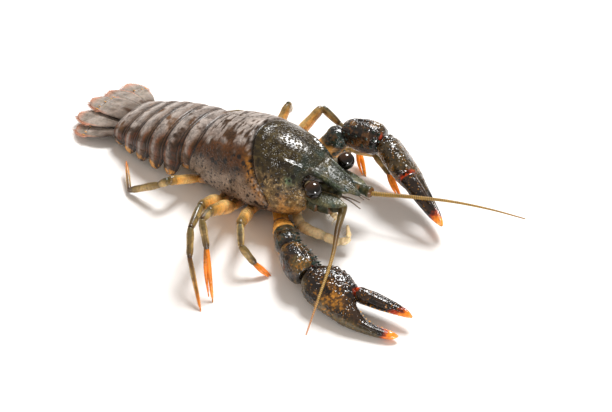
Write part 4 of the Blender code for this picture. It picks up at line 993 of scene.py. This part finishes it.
def rows_of_spines(piece, stations, inward, count, turns):
    """Spines in rows along the inner face, at these degrees above level, growing towards the
    front of each joint."""
    centres, sizes, last = stations[:, :3], stations[:, 3:], len(stations)
    way = unit(centres[-1] - centres[0])
    up = np.cross(way, inward)
    up = up * np.sign(up[2])
    for number, turn in enumerate(turns):
        for k in range(count):
            at = np.array((k + 0.6 + 0.35 * (number % 2)) / count * (last - 1.6))
            centre = curve_of(at, np.arange(last), centres)
            wide, tall = curve_of(at, np.arange(last), sizes)
            angle = math.radians(turn)
            out = inward * math.cos(angle) + up * math.sin(angle)
            root = centre + inward * math.cos(angle) * wide + up * math.sin(angle) * tall
            size = 0.5 + 0.5 * k / count
            tip = root + out * 0.95 * size + way * 0.75 * size
            cone(piece, root - out * 0.35, tip, 0.36 + 0.12 * size, "teal")


def hand_frame(word):
    """The hand's wrist, its length, and its three directions: along, across and up."""
    wrist, tip = np.array(ARM[word][3]), np.array(ARM[word][4])
    length = np.linalg.norm(tip - wrist)
    way = (tip - wrist) / length
    across = np.array(HAND_ACROSS[word])
    across = unit(across - np.dot(across, way) * way)
    return wrist, length, way, across, np.cross(across, way)


# Share of the hand's length, offset across it, half width, half thickness
PALM = (
    (0.0, 0.1, 2.3, 2.25), (0.03, 0.0, 3.0, 2.5), (0.06, -0.1, 3.6, 2.75), (0.12, 0.05, 4.35, 2.95),
    (0.2, 0.15, 4.85, 3.05), (0.3, 0.15, 4.95, 3.05), (0.38, -0.1, 4.7, 2.95), (0.43, -0.45, 4.35, 2.8),
    (0.46, -0.8, 3.95, 2.68), (0.485, -1.35, 3.4, 2.55), (0.52, -1.95, 2.75, 2.3), (0.6, -2.4, 2.1, 1.95),
    (0.66, -2.55, 1.65, 1.65), (0.75, -2.35, 1.28, 1.38), (0.84, -1.85, 1.15, 1.16),
    (0.91, -1.32, 1.02, 0.94), (0.96, -0.93, 0.82, 0.7), (0.99, -0.6, 0.5, 0.42), (1.0, -0.4, 0.28, 0.26),
)
# The same for the movable finger; its offsets run from 1 at the hinge to 0 at the tip
FINGER = (
    (0.465, 1.0, 1.2, 1.6), (0.483, 1.0, 1.5, 1.9), (0.53, 0.95, 1.66, 1.9), (0.6, 0.75, 1.7, 1.75),
    (0.7, 0.53, 1.6, 1.55), (0.8, 0.3, 1.36, 1.3), (0.9, 0.1, 1.0, 0.95), (0.96, 0.02, 0.68, 0.68),
    (1.0, 0.0, 0.27, 0.27),
)
HAND_POWER = 2.25  # of the superellipse round palm and fingers
HINGE_OFFSET = 2.85


def finger_relief(angle, share, start):
    """Two long furrows with a rounded ridge between them, on both faces of a finger."""
    along = step_up(share, start, start + 0.08) * (1 - step_up(share, 0.88, 0.95))
    return along * (0.1 * hump(np.cos(angle), 0, 0.14) - 0.16 * hump(np.abs(np.cos(angle)), 0.42, 0.12))


def finger_tip(colour, share, fine, biting):
    """The finger's paint, turning rust, orange and pale towards its tip, earlier on the biting edge."""
    rust = step_up(share + 0.08 * biting + 0.06 * (fine - 0.5), 0.86, 0.94)
    colour = blend(0.8 * rust, colour, "vermilion")
    colour = blend(step_up(share + 0.04 * biting + 0.04 * (fine - 0.5), 0.9, 0.955), colour, "orange")
    return blend(0.7 * step_up(share, 0.965, 0.995), colour, "amber")


def hand_tube(word, rows, count, around):
    """A tube along the hand from rows of share, offset, half width and half thickness. Returns
    places, share of the hand's length and angle."""
    wrist, length, way, across, _ = hand_frame(word)
    stations = np.column_stack([wrist + way * length * rows[:, :1] + across * rows[:, 1:2], rows[:, 2:]])
    places, _, angle = swept(stations, count, around, across, HAND_POWER, way)
    return places, (places - wrist) @ way / length, angle


def palm(word):
    """Palm with the fixed finger: granular above and below with a row of larger tubercles along
    its inner edge, an ochre field on its back, and blunt teeth that face the movable finger."""
    *_, up = hand_frame(word)
    rows = np.array(PALM)
    places, share, angle = hand_tube(word, rows, 320, 170)
    finger = step_up(share, 0.5, 0.62)
    inner = step_up(np.cos(angle), 0.2, 0.9)
    relief = claw_relief(places, 1.05, 121) * (0.22 - 0.15 * finger)
    inner_row = hump(np.cos(angle), 1.0, 0.3) * (1 - step_up(share, 0.44, 0.5))
    relief += 0.45 * inner_row * warts(places, 1.6, 0.9, 131)
    relief += finger_relief(angle, share, 0.6) - 0.3 * hump(share, 0.03, 0.015)
    body = places + outward(places) * relief[..., None]
    body[..., 2] = np.maximum(body[..., 2], 0.02)
    middle, fine = clouds(body, 2.0, 122), clouds(body, 0.55, 123)
    facing_down = step_up(-np.sin(angle) * np.sign(up[2]), 0.1, 0.8)
    warm = np.maximum(facing_down, step_up(-np.cos(angle), 0.1, 0.9) if word == "right" else 0.4)
    ground = paint("ink") * 0.8
    colour = blend(0.5 * step_up(middle + 0.4 * fine, 0.55, 1.0), ground, "umber")
    speck = clouds(body, 0.32, 124)
    patch = hump(share, 0.34, 0.2) * hump(np.cos(angle), -0.35, 0.55) * (1 - facing_down)
    patch = np.maximum(patch * step_up(middle, 0.1, 0.45), 0.5 * facing_down)
    colour = blend(0.8 * warm * step_up(middle + 0.3 * fine, 0.35, 0.8), colour, "olive")
    colour = blend(0.55 * patch, colour, "bronze")
    flecks = step_up(speck + 0.3 * fine, 0.85 - 0.42 * patch, 1.08 - 0.3 * patch)
    colour = blend(flecks * (0.35 + 0.5 * patch), colour, "ochre")
    red = hump(share, 0.455, 0.016) * step_up(np.cos(angle), 0.5, 0.95) * step_up(fine, 0.2, 0.5)
    colour = blend(red, colour, "vermilion")
    colour = blend(finger * 0.3, colour, "ink")
    colour = finger_tip(colour, share, fine, inner)
    piece = Piece()
    piece.add(capped(painted(body, colour, 0.07 + 0.08 * fine, 0.7 - 0.3 * finger), 0.2, 0.15))
    for k in range(9):
        tooth(piece, word, rows, 0.6 + 0.04 * k, 1, 0.3 if k % 3 else 0.42)
    piece.finish(f"claw_palm_{word}", "claw", f"cheliped_{word}_propodus")


def finger(word):
    """The movable finger, bent from its hinge towards the fixed one by the claw's gape."""
    rows = np.array(FINGER)
    tip_offset = GAPE[word] - 0.1
    rows[:, 1] = tip_offset + (HINGE_OFFSET - tip_offset) * rows[:, 1]
    places, share, angle = hand_tube(word, rows, 200, 110)
    relief = claw_relief(places, 0.9, 141) * 0.08 + finger_relief(angle, share, 0.54)
    body = places + outward(places) * relief[..., None]
    middle, fine = clouds(body, 1.8, 143), clouds(body, 0.55, 142)
    colour = blend(0.5 * step_up(middle, 0.35, 0.7), paint("ink") * 0.8, "umber")
    colour = blend(step_up(clouds(body, 0.32, 144) + 0.3 * fine, 0.85, 1.1) * 0.6, colour, "ochre")
    hinge = (1 - step_up(share, 0.47, 0.5)) * step_up(fine, 0.25, 0.5)
    colour = blend(hinge, colour, "vermilion")
    colour = finger_tip(colour, share, fine, step_up(-np.cos(angle), 0.2, 0.9))
    piece = Piece()
    piece.add(capped(painted(body, colour, 0.08 + 0.1 * fine, 0.5), 0.5, 0.15))
    for k in range(8):
        tooth(piece, word, rows, 0.6 + 0.043 * k, -1, 0.3)
    piece.finish(f"claw_finger_{word}", "claw", f"cheliped_{word}_dactyl")


def tooth(piece, word, rows, at, facing, size):
    """One blunt tooth on a finger's inner edge, at a share of the hand's length."""
    wrist, length, way, across, _ = hand_frame(word)
    offset, half = (float(np.interp(at, rows[:, 0], rows[:, k])) for k in (1, 2))
    root = wrist + way * length * at + across * (offset + facing * (half - 0.3))
    cone(piece, root, root + across * facing * (0.3 + size * 0.75), size, "amber", 0.3, 10)


# Walking legs

def run_through(share, stops):
    """A paint that runs through the stops, each a share of the length and a paint's name."""
    at, names = zip(*stops)
    paints = np.array([paint(name) for name in names])
    return np.stack([np.interp(share, at, paints[:, k]) for k in range(3)], -1)


def leg_joint(piece, points, sizes, stops, tops, across, rows=44, cols=36):
    """One joint of a leg: a flattened barrel with a collar at its far end. Its paint runs through
    the stops from root to tip, and along its upper and lower edges through tops."""
    places, share, angle = swept([(*place, *size) for place, size in zip(points, sizes)], rows, cols, across)
    relief = 0.03 * warts(places, 0.6, 0.5, 151) - 0.06 * hump(share, 0.93, 0.02)
    places = places + outward(places) * relief[..., None]
    body, edge = run_through(share, stops), run_through(share, tops)
    fine = clouds(places, 0.8, 152)
    keel = np.clip(step_up(np.abs(np.sin(angle)), 0.72, 0.95) + 0.35 * (fine - 0.5), 0, 1)
    colour = blend(keel * 0.8, body, edge)
    colour = blend(0.5 * step_up(fine, 0.55, 0.85), colour, edge)
    colour = blend(hump(share, 0.97, 0.02) * 0.45, colour, "umber")
    joint = capped(painted(places, colour, 0.24 + 0.14 * fine), 0.25, 0.12)
    joint[..., 2] = np.maximum(joint[..., 2], 0.0)
    piece.add(joint)


# Half widths and half heights of a leg's joints from root to tip
COXA_SIZES = ((1.4, 1.1), (1.6, 1.2), (1.45, 1.2), (1.05, 1.0))
THIGH_SIZES = ((0.95, 1.0), (1.15, 1.45), (1.25, 1.7), (1.1, 1.4), (0.9, 1.1), (0.72, 0.82))
HIND_THIGH_SIZES = ((0.95, 1.0), (1.0, 1.15), (0.98, 1.22), (0.94, 1.15), (0.88, 1.05), (0.72, 0.82))
WRIST_SIZES = ((0.72, 0.8), (0.85, 0.98), (0.85, 0.98), (0.68, 0.78))
SHANK_SIZES = ((0.65, 0.75), (0.8, 0.95), (0.76, 0.9), (0.64, 0.76), (0.5, 0.6))
CLAW_SIZES = ((0.52, 0.62), (0.55, 0.66), (0.44, 0.52), (0.28, 0.32), (0.12, 0.12))
THUMB_SIZES = ((0.55, 0.6), (0.42, 0.45), (0.14, 0.14))
# What a joint's paint runs through
TAN_JOINT = ((0, "tan_dark"), (0.5, "tan"), (1, "tan_dark"))
PALE_JOINT = ((0, "tan"), (0.5, "sand"), (1, "tan"))
SHANK = ((0, "tan_dark"), (0.5, "tan"), (0.85, "tan_dark"), (1, "umber"))
SLIM_TIP = ((0, "bronze"), (0.35, "tan"), (0.6, "amber"), (1, "orange"))
SLIM_TIP_EDGE = ((0, "umber"), (0.6, "bronze"), (1, "orange"))
ALL_ORANGE = ((0, "orange"), (1, "orange"))


def leg(name):
    """A walking leg: coxa and basis, thigh, carpus, palm, and claw or pincer, with bristles."""
    bow, *joints = LEGS[name]
    number = name[0]
    root, basis, knee, wrist, finger, tip = (np.array(place, float) for place in joints)
    upper, lower = Piece(), Piece()
    leg_joint(upper, between(root, basis, 0, 0.35, 0.7, 0.98), COXA_SIZES,
              ((0, "bronze"), (0.5, "ash"), (1, "amber")), ((0, "olive"), (1, "olive")), level(root, basis))
    thigh = basis * 0.55 + knee * 0.45 + (0, 0, bow)
    leg_joint(upper, between(basis, thigh, 0, 0.3) + between(thigh, knee, 0, 0.55, 0.93, 0.99),
              HIND_THIGH_SIZES if number == "5" else THIGH_SIZES,
              ((0, "amber"), (0.45, "amber_pale"), (0.75, "amber"), (1, "tan_dark")),
              ((0, "amber"), (0.5, "tan"), (1, "olive")), level(basis, knee), 70)
    leg_joint(lower, between(knee, wrist, 0.02, 0.2, 0.6, 0.97), WRIST_SIZES,
              PALE_JOINT if number == "2" else TAN_JOINT,
              ((0, "teal"), (1, "umber")), level(knee, wrist + (0.01, 0, 0)))
    leg_joint(lower, between(wrist, finger, 0, 0.15, 0.55, 0.92, 0.99), SHANK_SIZES, SHANK,
              ((0, "olive"), (1, "umber")), level(wrist, finger), 60)
    end = tip + (0, 0, 0.1 if tip[2] == 0 else 0)
    if name in PINCER_LEGS:
        stops = ((0, "orange"), (0.5, "orange"), (1, "amber" if number == "3" else "vermilion"))
        edge = ALL_ORANGE
    else:
        stops, edge = SLIM_TIP, SLIM_TIP_EDGE
    leg_joint(lower, between(finger, tip, 0, 0.25, 0.6, 0.88) + [end], CLAW_SIZES, stops, edge,
              level(finger, tip), 60)
    if name in PINCER_LEGS:
        beside = level(finger, tip)
        start = finger + (wrist - finger) * 0.15
        end = finger * 0.12 + tip * 0.88 + beside * 0.75
        (middle,) = between(start, end, 0.5)
        leg_joint(lower, [start, middle + beside * 0.35, end], THUMB_SIZES,
                  ((0, "olive"), (0.3, "orange"), (1, "orange")),
                  ((0, "olive"), (0.5, "orange"), (1, "orange")), level(start, end))
    leg_bristles(lower, finger, tip)
    upper.finish(f"leg_thigh_{name}", "limb", f"leg_{name}_upper")
    lower.finish(f"leg_shank_{name}", "limb", f"leg_{name}_lower")


def leg_bristles(piece, finger, tip):
    """Three rows of hairs along the claw of a leg, leaning towards its tip."""
    count = 22
    share = np.linspace(0.15, 0.9, count)[:, None]
    line = finger * (1 - share) + tip * share
    side, along = level(finger, tip), unit(tip - finger)
    up = np.cross(side, along)
    for turn in (0.5, 2.4, 4.2):
        out = side * math.cos(turn) + up * math.sin(turn)
        roots = line + out * 0.35 * np.linspace(1, 0.5, count)[:, None]
        bristles(piece, roots, out + along * 0.9 + 0.5 * jitter(line, 0.4, 161), 0.7, "gold", 0.03)


# Underside

def underside():
    """The floor of the thorax: a keel whose ring is a superellipse between its bottom and its top.
    A furrow runs down its middle, and a groove crosses it halfway between each two limbs."""
    y = np.linspace(UNDERSIDE_Y[0], UNDERSIDE_Y[-1], 170)[:, None]
    angle = round_angles(90)
    half, bottom = (np.interp(y, UNDERSIDE_Y, row) for row in (UNDERSIDE_HALF_WIDTH, UNDERSIDE_BOTTOM))
    x = half * bulged(np.cos(angle), UNDERSIDE_POWER)
    rise = bulged(np.sin(angle), UNDERSIDE_POWER)
    z = (UNDERSIDE_TOP + bottom) / 2 + rise * (UNDERSIDE_TOP - bottom) / 2
    roots = [ARM["right"][0][1]] + [LEGS[f"{number}_right"][1][1] for number in (2, 3, 4, 5)]
    grooves = sum(hump(y, (a + b) / 2, 0.3) for a, b in zip(roots, roots[1:])) * np.ones_like(angle)
    below = np.clip(-rise, 0, 1) * np.ones_like(y)
    furrow = hump(x, 0, 0.4)
    z = z + below * (0.5 * grooves + 0.45 * furrow + 0.25 * (1 - np.cos(x / half * 1.3)))
    x = x * (1 - 0.05 * grooves)
    places = grid_of(x, y, z)
    colour = blend(clouds(places, 0.9, 171) * 0.5, "sand", "amber_pale")
    colour = blend(0.7 * np.maximum(grooves, furrow * below), colour, "tan_dark")
    piece = Piece()
    piece.add(capped(painted(places, colour, 0.3 + 0.12 * clouds(places, 0.7, 172)), 0.15, 0.15))
    piece.finish("underside", "belly", "thorax_underside")


# Finishes

SUBSURFACE_DEPTH = 0.0006  # metres
SHELL_IOR = 1.5
# For each one the slots that take it, then fleck, bump in metres, coat, its roughness, subsurface, specular
FINISHES = {
    "wet_shell": (("shell", "shell_dark"), 0.75, 0.00018, 0.04, 0.2, 0.0, 0.45),
    "granular_claw": (("claw",), 0.7, 0.00012, 0.15, 0.06, 0.0, 0.6),
    "limb_shell": (("limb", "belly"), 0.4, 0.0001, 0.15, 0.14, 0.12, 0.45),
    "tail_plate": (("tail_fan",), 0.5, 0.0001, 0.2, 0.25, 0.05, 0.3),
    "feeler_rings": (("feeler",), 0.25, 0.00005, 0.15, 0.25, 0.0, 0.3),
    "eye_gloss": (("eye",), 0.1, 0.00001, 0.0, 0.02, 0.0, 0.65),
}


def link(tree, source, target):
    """Joins an output socket to an input socket."""
    tree.links.new(source, target)


def mottle_group():
    """Shared by every shell: breaks a coat of paint into finer flecks, varies how wet it looks and
    raises granules. In: Paint, Rough, Grain, Fleck. Out: Colour, Rough, Height."""
    if "mottle" in bpy.data.node_groups:
        return bpy.data.node_groups["mottle"]
    group = bpy.data.node_groups.new("mottle", "ShaderNodeTree")
    face = group.interface
    face.new_socket("Paint", in_out="INPUT", socket_type="NodeSocketColor")
    for name, value in (("Rough", 0.3), ("Grain", 0.2), ("Fleck", 0.5)):
        face.new_socket(name, in_out="INPUT", socket_type="NodeSocketFloat").default_value = value
    face.new_socket("Colour", in_out="OUTPUT", socket_type="NodeSocketColor")
    face.new_socket("Rough", in_out="OUTPUT", socket_type="NodeSocketFloat")
    face.new_socket("Height", in_out="OUTPUT", socket_type="NodeSocketFloat")
    nodes = group.nodes
    inputs, outputs = nodes.new("NodeGroupInput"), nodes.new("NodeGroupOutput")
    place = nodes.new("ShaderNodeTexCoord")
    fleck, drift = nodes.new("ShaderNodeTexNoise"), nodes.new("ShaderNodeTexNoise")
    granule = nodes.new("ShaderNodeTexVoronoi")
    for texture, scale in ((fleck, 1900), (drift, 420), (granule, 1700)):
        texture.inputs["Scale"].default_value = scale
        link(group, place.outputs["Object"], texture.inputs["Vector"])
    fleck.inputs["Detail"].default_value = 3
    drift.inputs["Detail"].default_value = 4
    both = math_node(group, "ADD", fleck.outputs["Fac"], drift.outputs["Fac"])
    spread = range_node(group, both, (0.75, 1.25), (0.35, 1.65))
    amount = nodes.new("ShaderNodeMix")
    amount.data_type = "FLOAT"
    link(group, inputs.outputs["Fleck"], amount.inputs["Factor"])
    amount.inputs[2].default_value = 1.0
    link(group, spread, amount.inputs[3])
    scaled = nodes.new("ShaderNodeVectorMath")
    scaled.operation = "SCALE"
    link(group, inputs.outputs["Paint"], scaled.inputs[0])
    link(group, amount.outputs[0], scaled.inputs["Scale"])
    link(group, scaled.outputs[0], outputs.inputs["Colour"])
    wet = range_node(group, drift.outputs["Fac"], (0.3, 0.7), (-0.08, 0.08))
    link(group, math_node(group, "ADD", wet, inputs.outputs["Rough"]), outputs.inputs["Rough"])
    dome = range_node(group, granule.outputs["Distance"], (0.05, 0.5), (1.0, 0.0))
    bumps = math_node(group, "MULTIPLY", dome, inputs.outputs["Grain"])
    soft = range_node(group, fleck.outputs["Fac"], (0.3, 0.7), (0.0, 0.15))
    link(group, math_node(group, "ADD", bumps, soft), outputs.inputs["Height"])
    return group


def math_node(tree, operation, first, second):
    """The sum or product of two outputs, as a new output."""
    node = tree.nodes.new("ShaderNodeMath")
    node.operation = operation
    link(tree, first, node.inputs[0])
    link(tree, second, node.inputs[1])
    return node.outputs[0]


def range_node(tree, value, low_high, out_low_high):
    """Carries a value from one range to another."""
    node = tree.nodes.new("ShaderNodeMapRange")
    node.inputs["From Min"].default_value, node.inputs["From Max"].default_value = low_high
    node.inputs["To Min"].default_value, node.inputs["To Max"].default_value = out_low_high
    link(tree, value, node.inputs["Value"])
    return node.outputs["Result"]


def finish_of(slot):
    """The finish of a slot, made once: the piece's own coat of paint and grain through the mottle
    group, under a clear wet coat."""
    name = next(name for name, values in FINISHES.items() if slot in values[0])
    if name in bpy.data.materials:
        return bpy.data.materials[name]
    _, fleck, bump, coat, coat_rough, subsurface, specular = FINISHES[name]
    made = bpy.data.materials.new(name)
    made.use_nodes = True
    tree = made.node_tree
    shader = tree.nodes["Principled BSDF"]
    own, grain = tree.nodes.new("ShaderNodeAttribute"), tree.nodes.new("ShaderNodeAttribute")
    own.attribute_name, grain.attribute_name = "coat", "grain"
    mottle = tree.nodes.new("ShaderNodeGroup")
    mottle.node_tree = mottle_group()
    mottle.inputs["Fleck"].default_value = fleck
    link(tree, own.outputs["Color"], mottle.inputs["Paint"])
    link(tree, own.outputs["Alpha"], mottle.inputs["Rough"])
    link(tree, grain.outputs["Fac"], mottle.inputs["Grain"])
    link(tree, mottle.outputs["Colour"], shader.inputs["Base Color"])
    link(tree, mottle.outputs["Rough"], shader.inputs["Roughness"])
    dent = tree.nodes.new("ShaderNodeBump")
    dent.inputs["Strength"].default_value = 1.0
    dent.inputs["Distance"].default_value = bump
    link(tree, mottle.outputs["Height"], dent.inputs["Height"])
    link(tree, dent.outputs["Normal"], shader.inputs["Normal"])
    for socket, value in (
        ("Coat Weight", coat),
        ("Coat Roughness", coat_rough),
        ("Subsurface Weight", subsurface),
        ("Subsurface Scale", SUBSURFACE_DEPTH),
        ("IOR", SHELL_IOR),
        ("Specular IOR Level", specular),
    ):
        shader.inputs[socket].default_value = value
    return made


# Floor, light and camera; metres, but the camera's place is in the animal's frame
FLOOR_HALF = 3
FLOOR_PAINT, FLOOR_ROUGH = (0.92, 0.91, 0.9, 1), 0.8
SKY, SKY_STRENGTH = (1, 0.88, 0.78, 1), 0.48
LAMPS = (  # name, place, what it looks at, size, watts
    ("overhead", (0.27, 0.05, 0.4), (0, 0.01, 0), 0.17, 3.0),
    ("front", (-0.22, -0.38, 0.06), (0, -0.01, 0.01), 0.08, 1.0),
)
CAMERA_PLACE, CAMERA_BACK = (-141.9, -86.8, 151.5), (-0.616, -0.441, 0.652)
CAMERA_LENS, CAMERA_SENSOR = 57.35, 36  # mm

def studio():
    """A white floor under soft light from above and behind, a smaller light from the front right,
    and the camera at the photograph's angle."""
    scene = bpy.context.scene
    floor_mesh = bpy.data.meshes.new("floor")
    corners = [(x * FLOOR_HALF, y * FLOOR_HALF, 0) for x, y in ((-1, -1), (1, -1), (1, 1), (-1, 1))]
    floor_mesh.from_pydata(corners, [], [(0, 1, 2, 3)])
    floor = bpy.data.objects.new("floor", floor_mesh)
    scene.collection.objects.link(floor)
    white = bpy.data.materials.new("floor_white")
    white.use_nodes = True
    shader = white.node_tree.nodes["Principled BSDF"]
    shader.inputs["Base Color"].default_value = FLOOR_PAINT
    shader.inputs["Roughness"].default_value = FLOOR_ROUGH
    floor_mesh.materials.append(white)
    scene.world = bpy.data.worlds.new("studio")
    scene.world.use_nodes = True
    sky = scene.world.node_tree.nodes["Background"]
    sky.inputs["Color"].default_value = SKY
    sky.inputs["Strength"].default_value = SKY_STRENGTH
    for values in LAMPS:
        lamp(*values)
    scene.view_settings.view_transform = "Standard"
    scene.view_settings.exposure = 0.0
    data = bpy.data.cameras.new("camera")
    data.lens, data.sensor_width, data.clip_start = CAMERA_LENS, CAMERA_SENSOR, 0.01
    camera = bpy.data.objects.new("camera", data)
    scene.collection.objects.link(camera)
    camera.location = Vector((np.array(CAMERA_PLACE) + HOME) / 1000)
    camera.rotation_euler = Vector(CAMERA_BACK).to_track_quat("Z", "Y").to_euler()
    scene.camera = camera


def lamp(name, place, target, size, power):
    """A square area lamp that faces its target."""
    data = bpy.data.lights.new(name, "AREA")
    data.size = size
    data.energy = power
    item = bpy.data.objects.new(name, data)
    item.location = place
    item.rotation_euler = (Vector(place) - Vector(target)).to_track_quat("Z", "Y").to_euler()
    bpy.context.scene.collection.objects.link(item)


studio()
underside()
shield()
rostrum()
eyes()
feelers()
mouth_legs()
for number in range(6):
    tail_ring(number)
tail_core()
tail_fan()
for _, word in SIDES:
    arm(word)
    palm(word)
    finger(word)
for name in LEGS:
    leg(name)
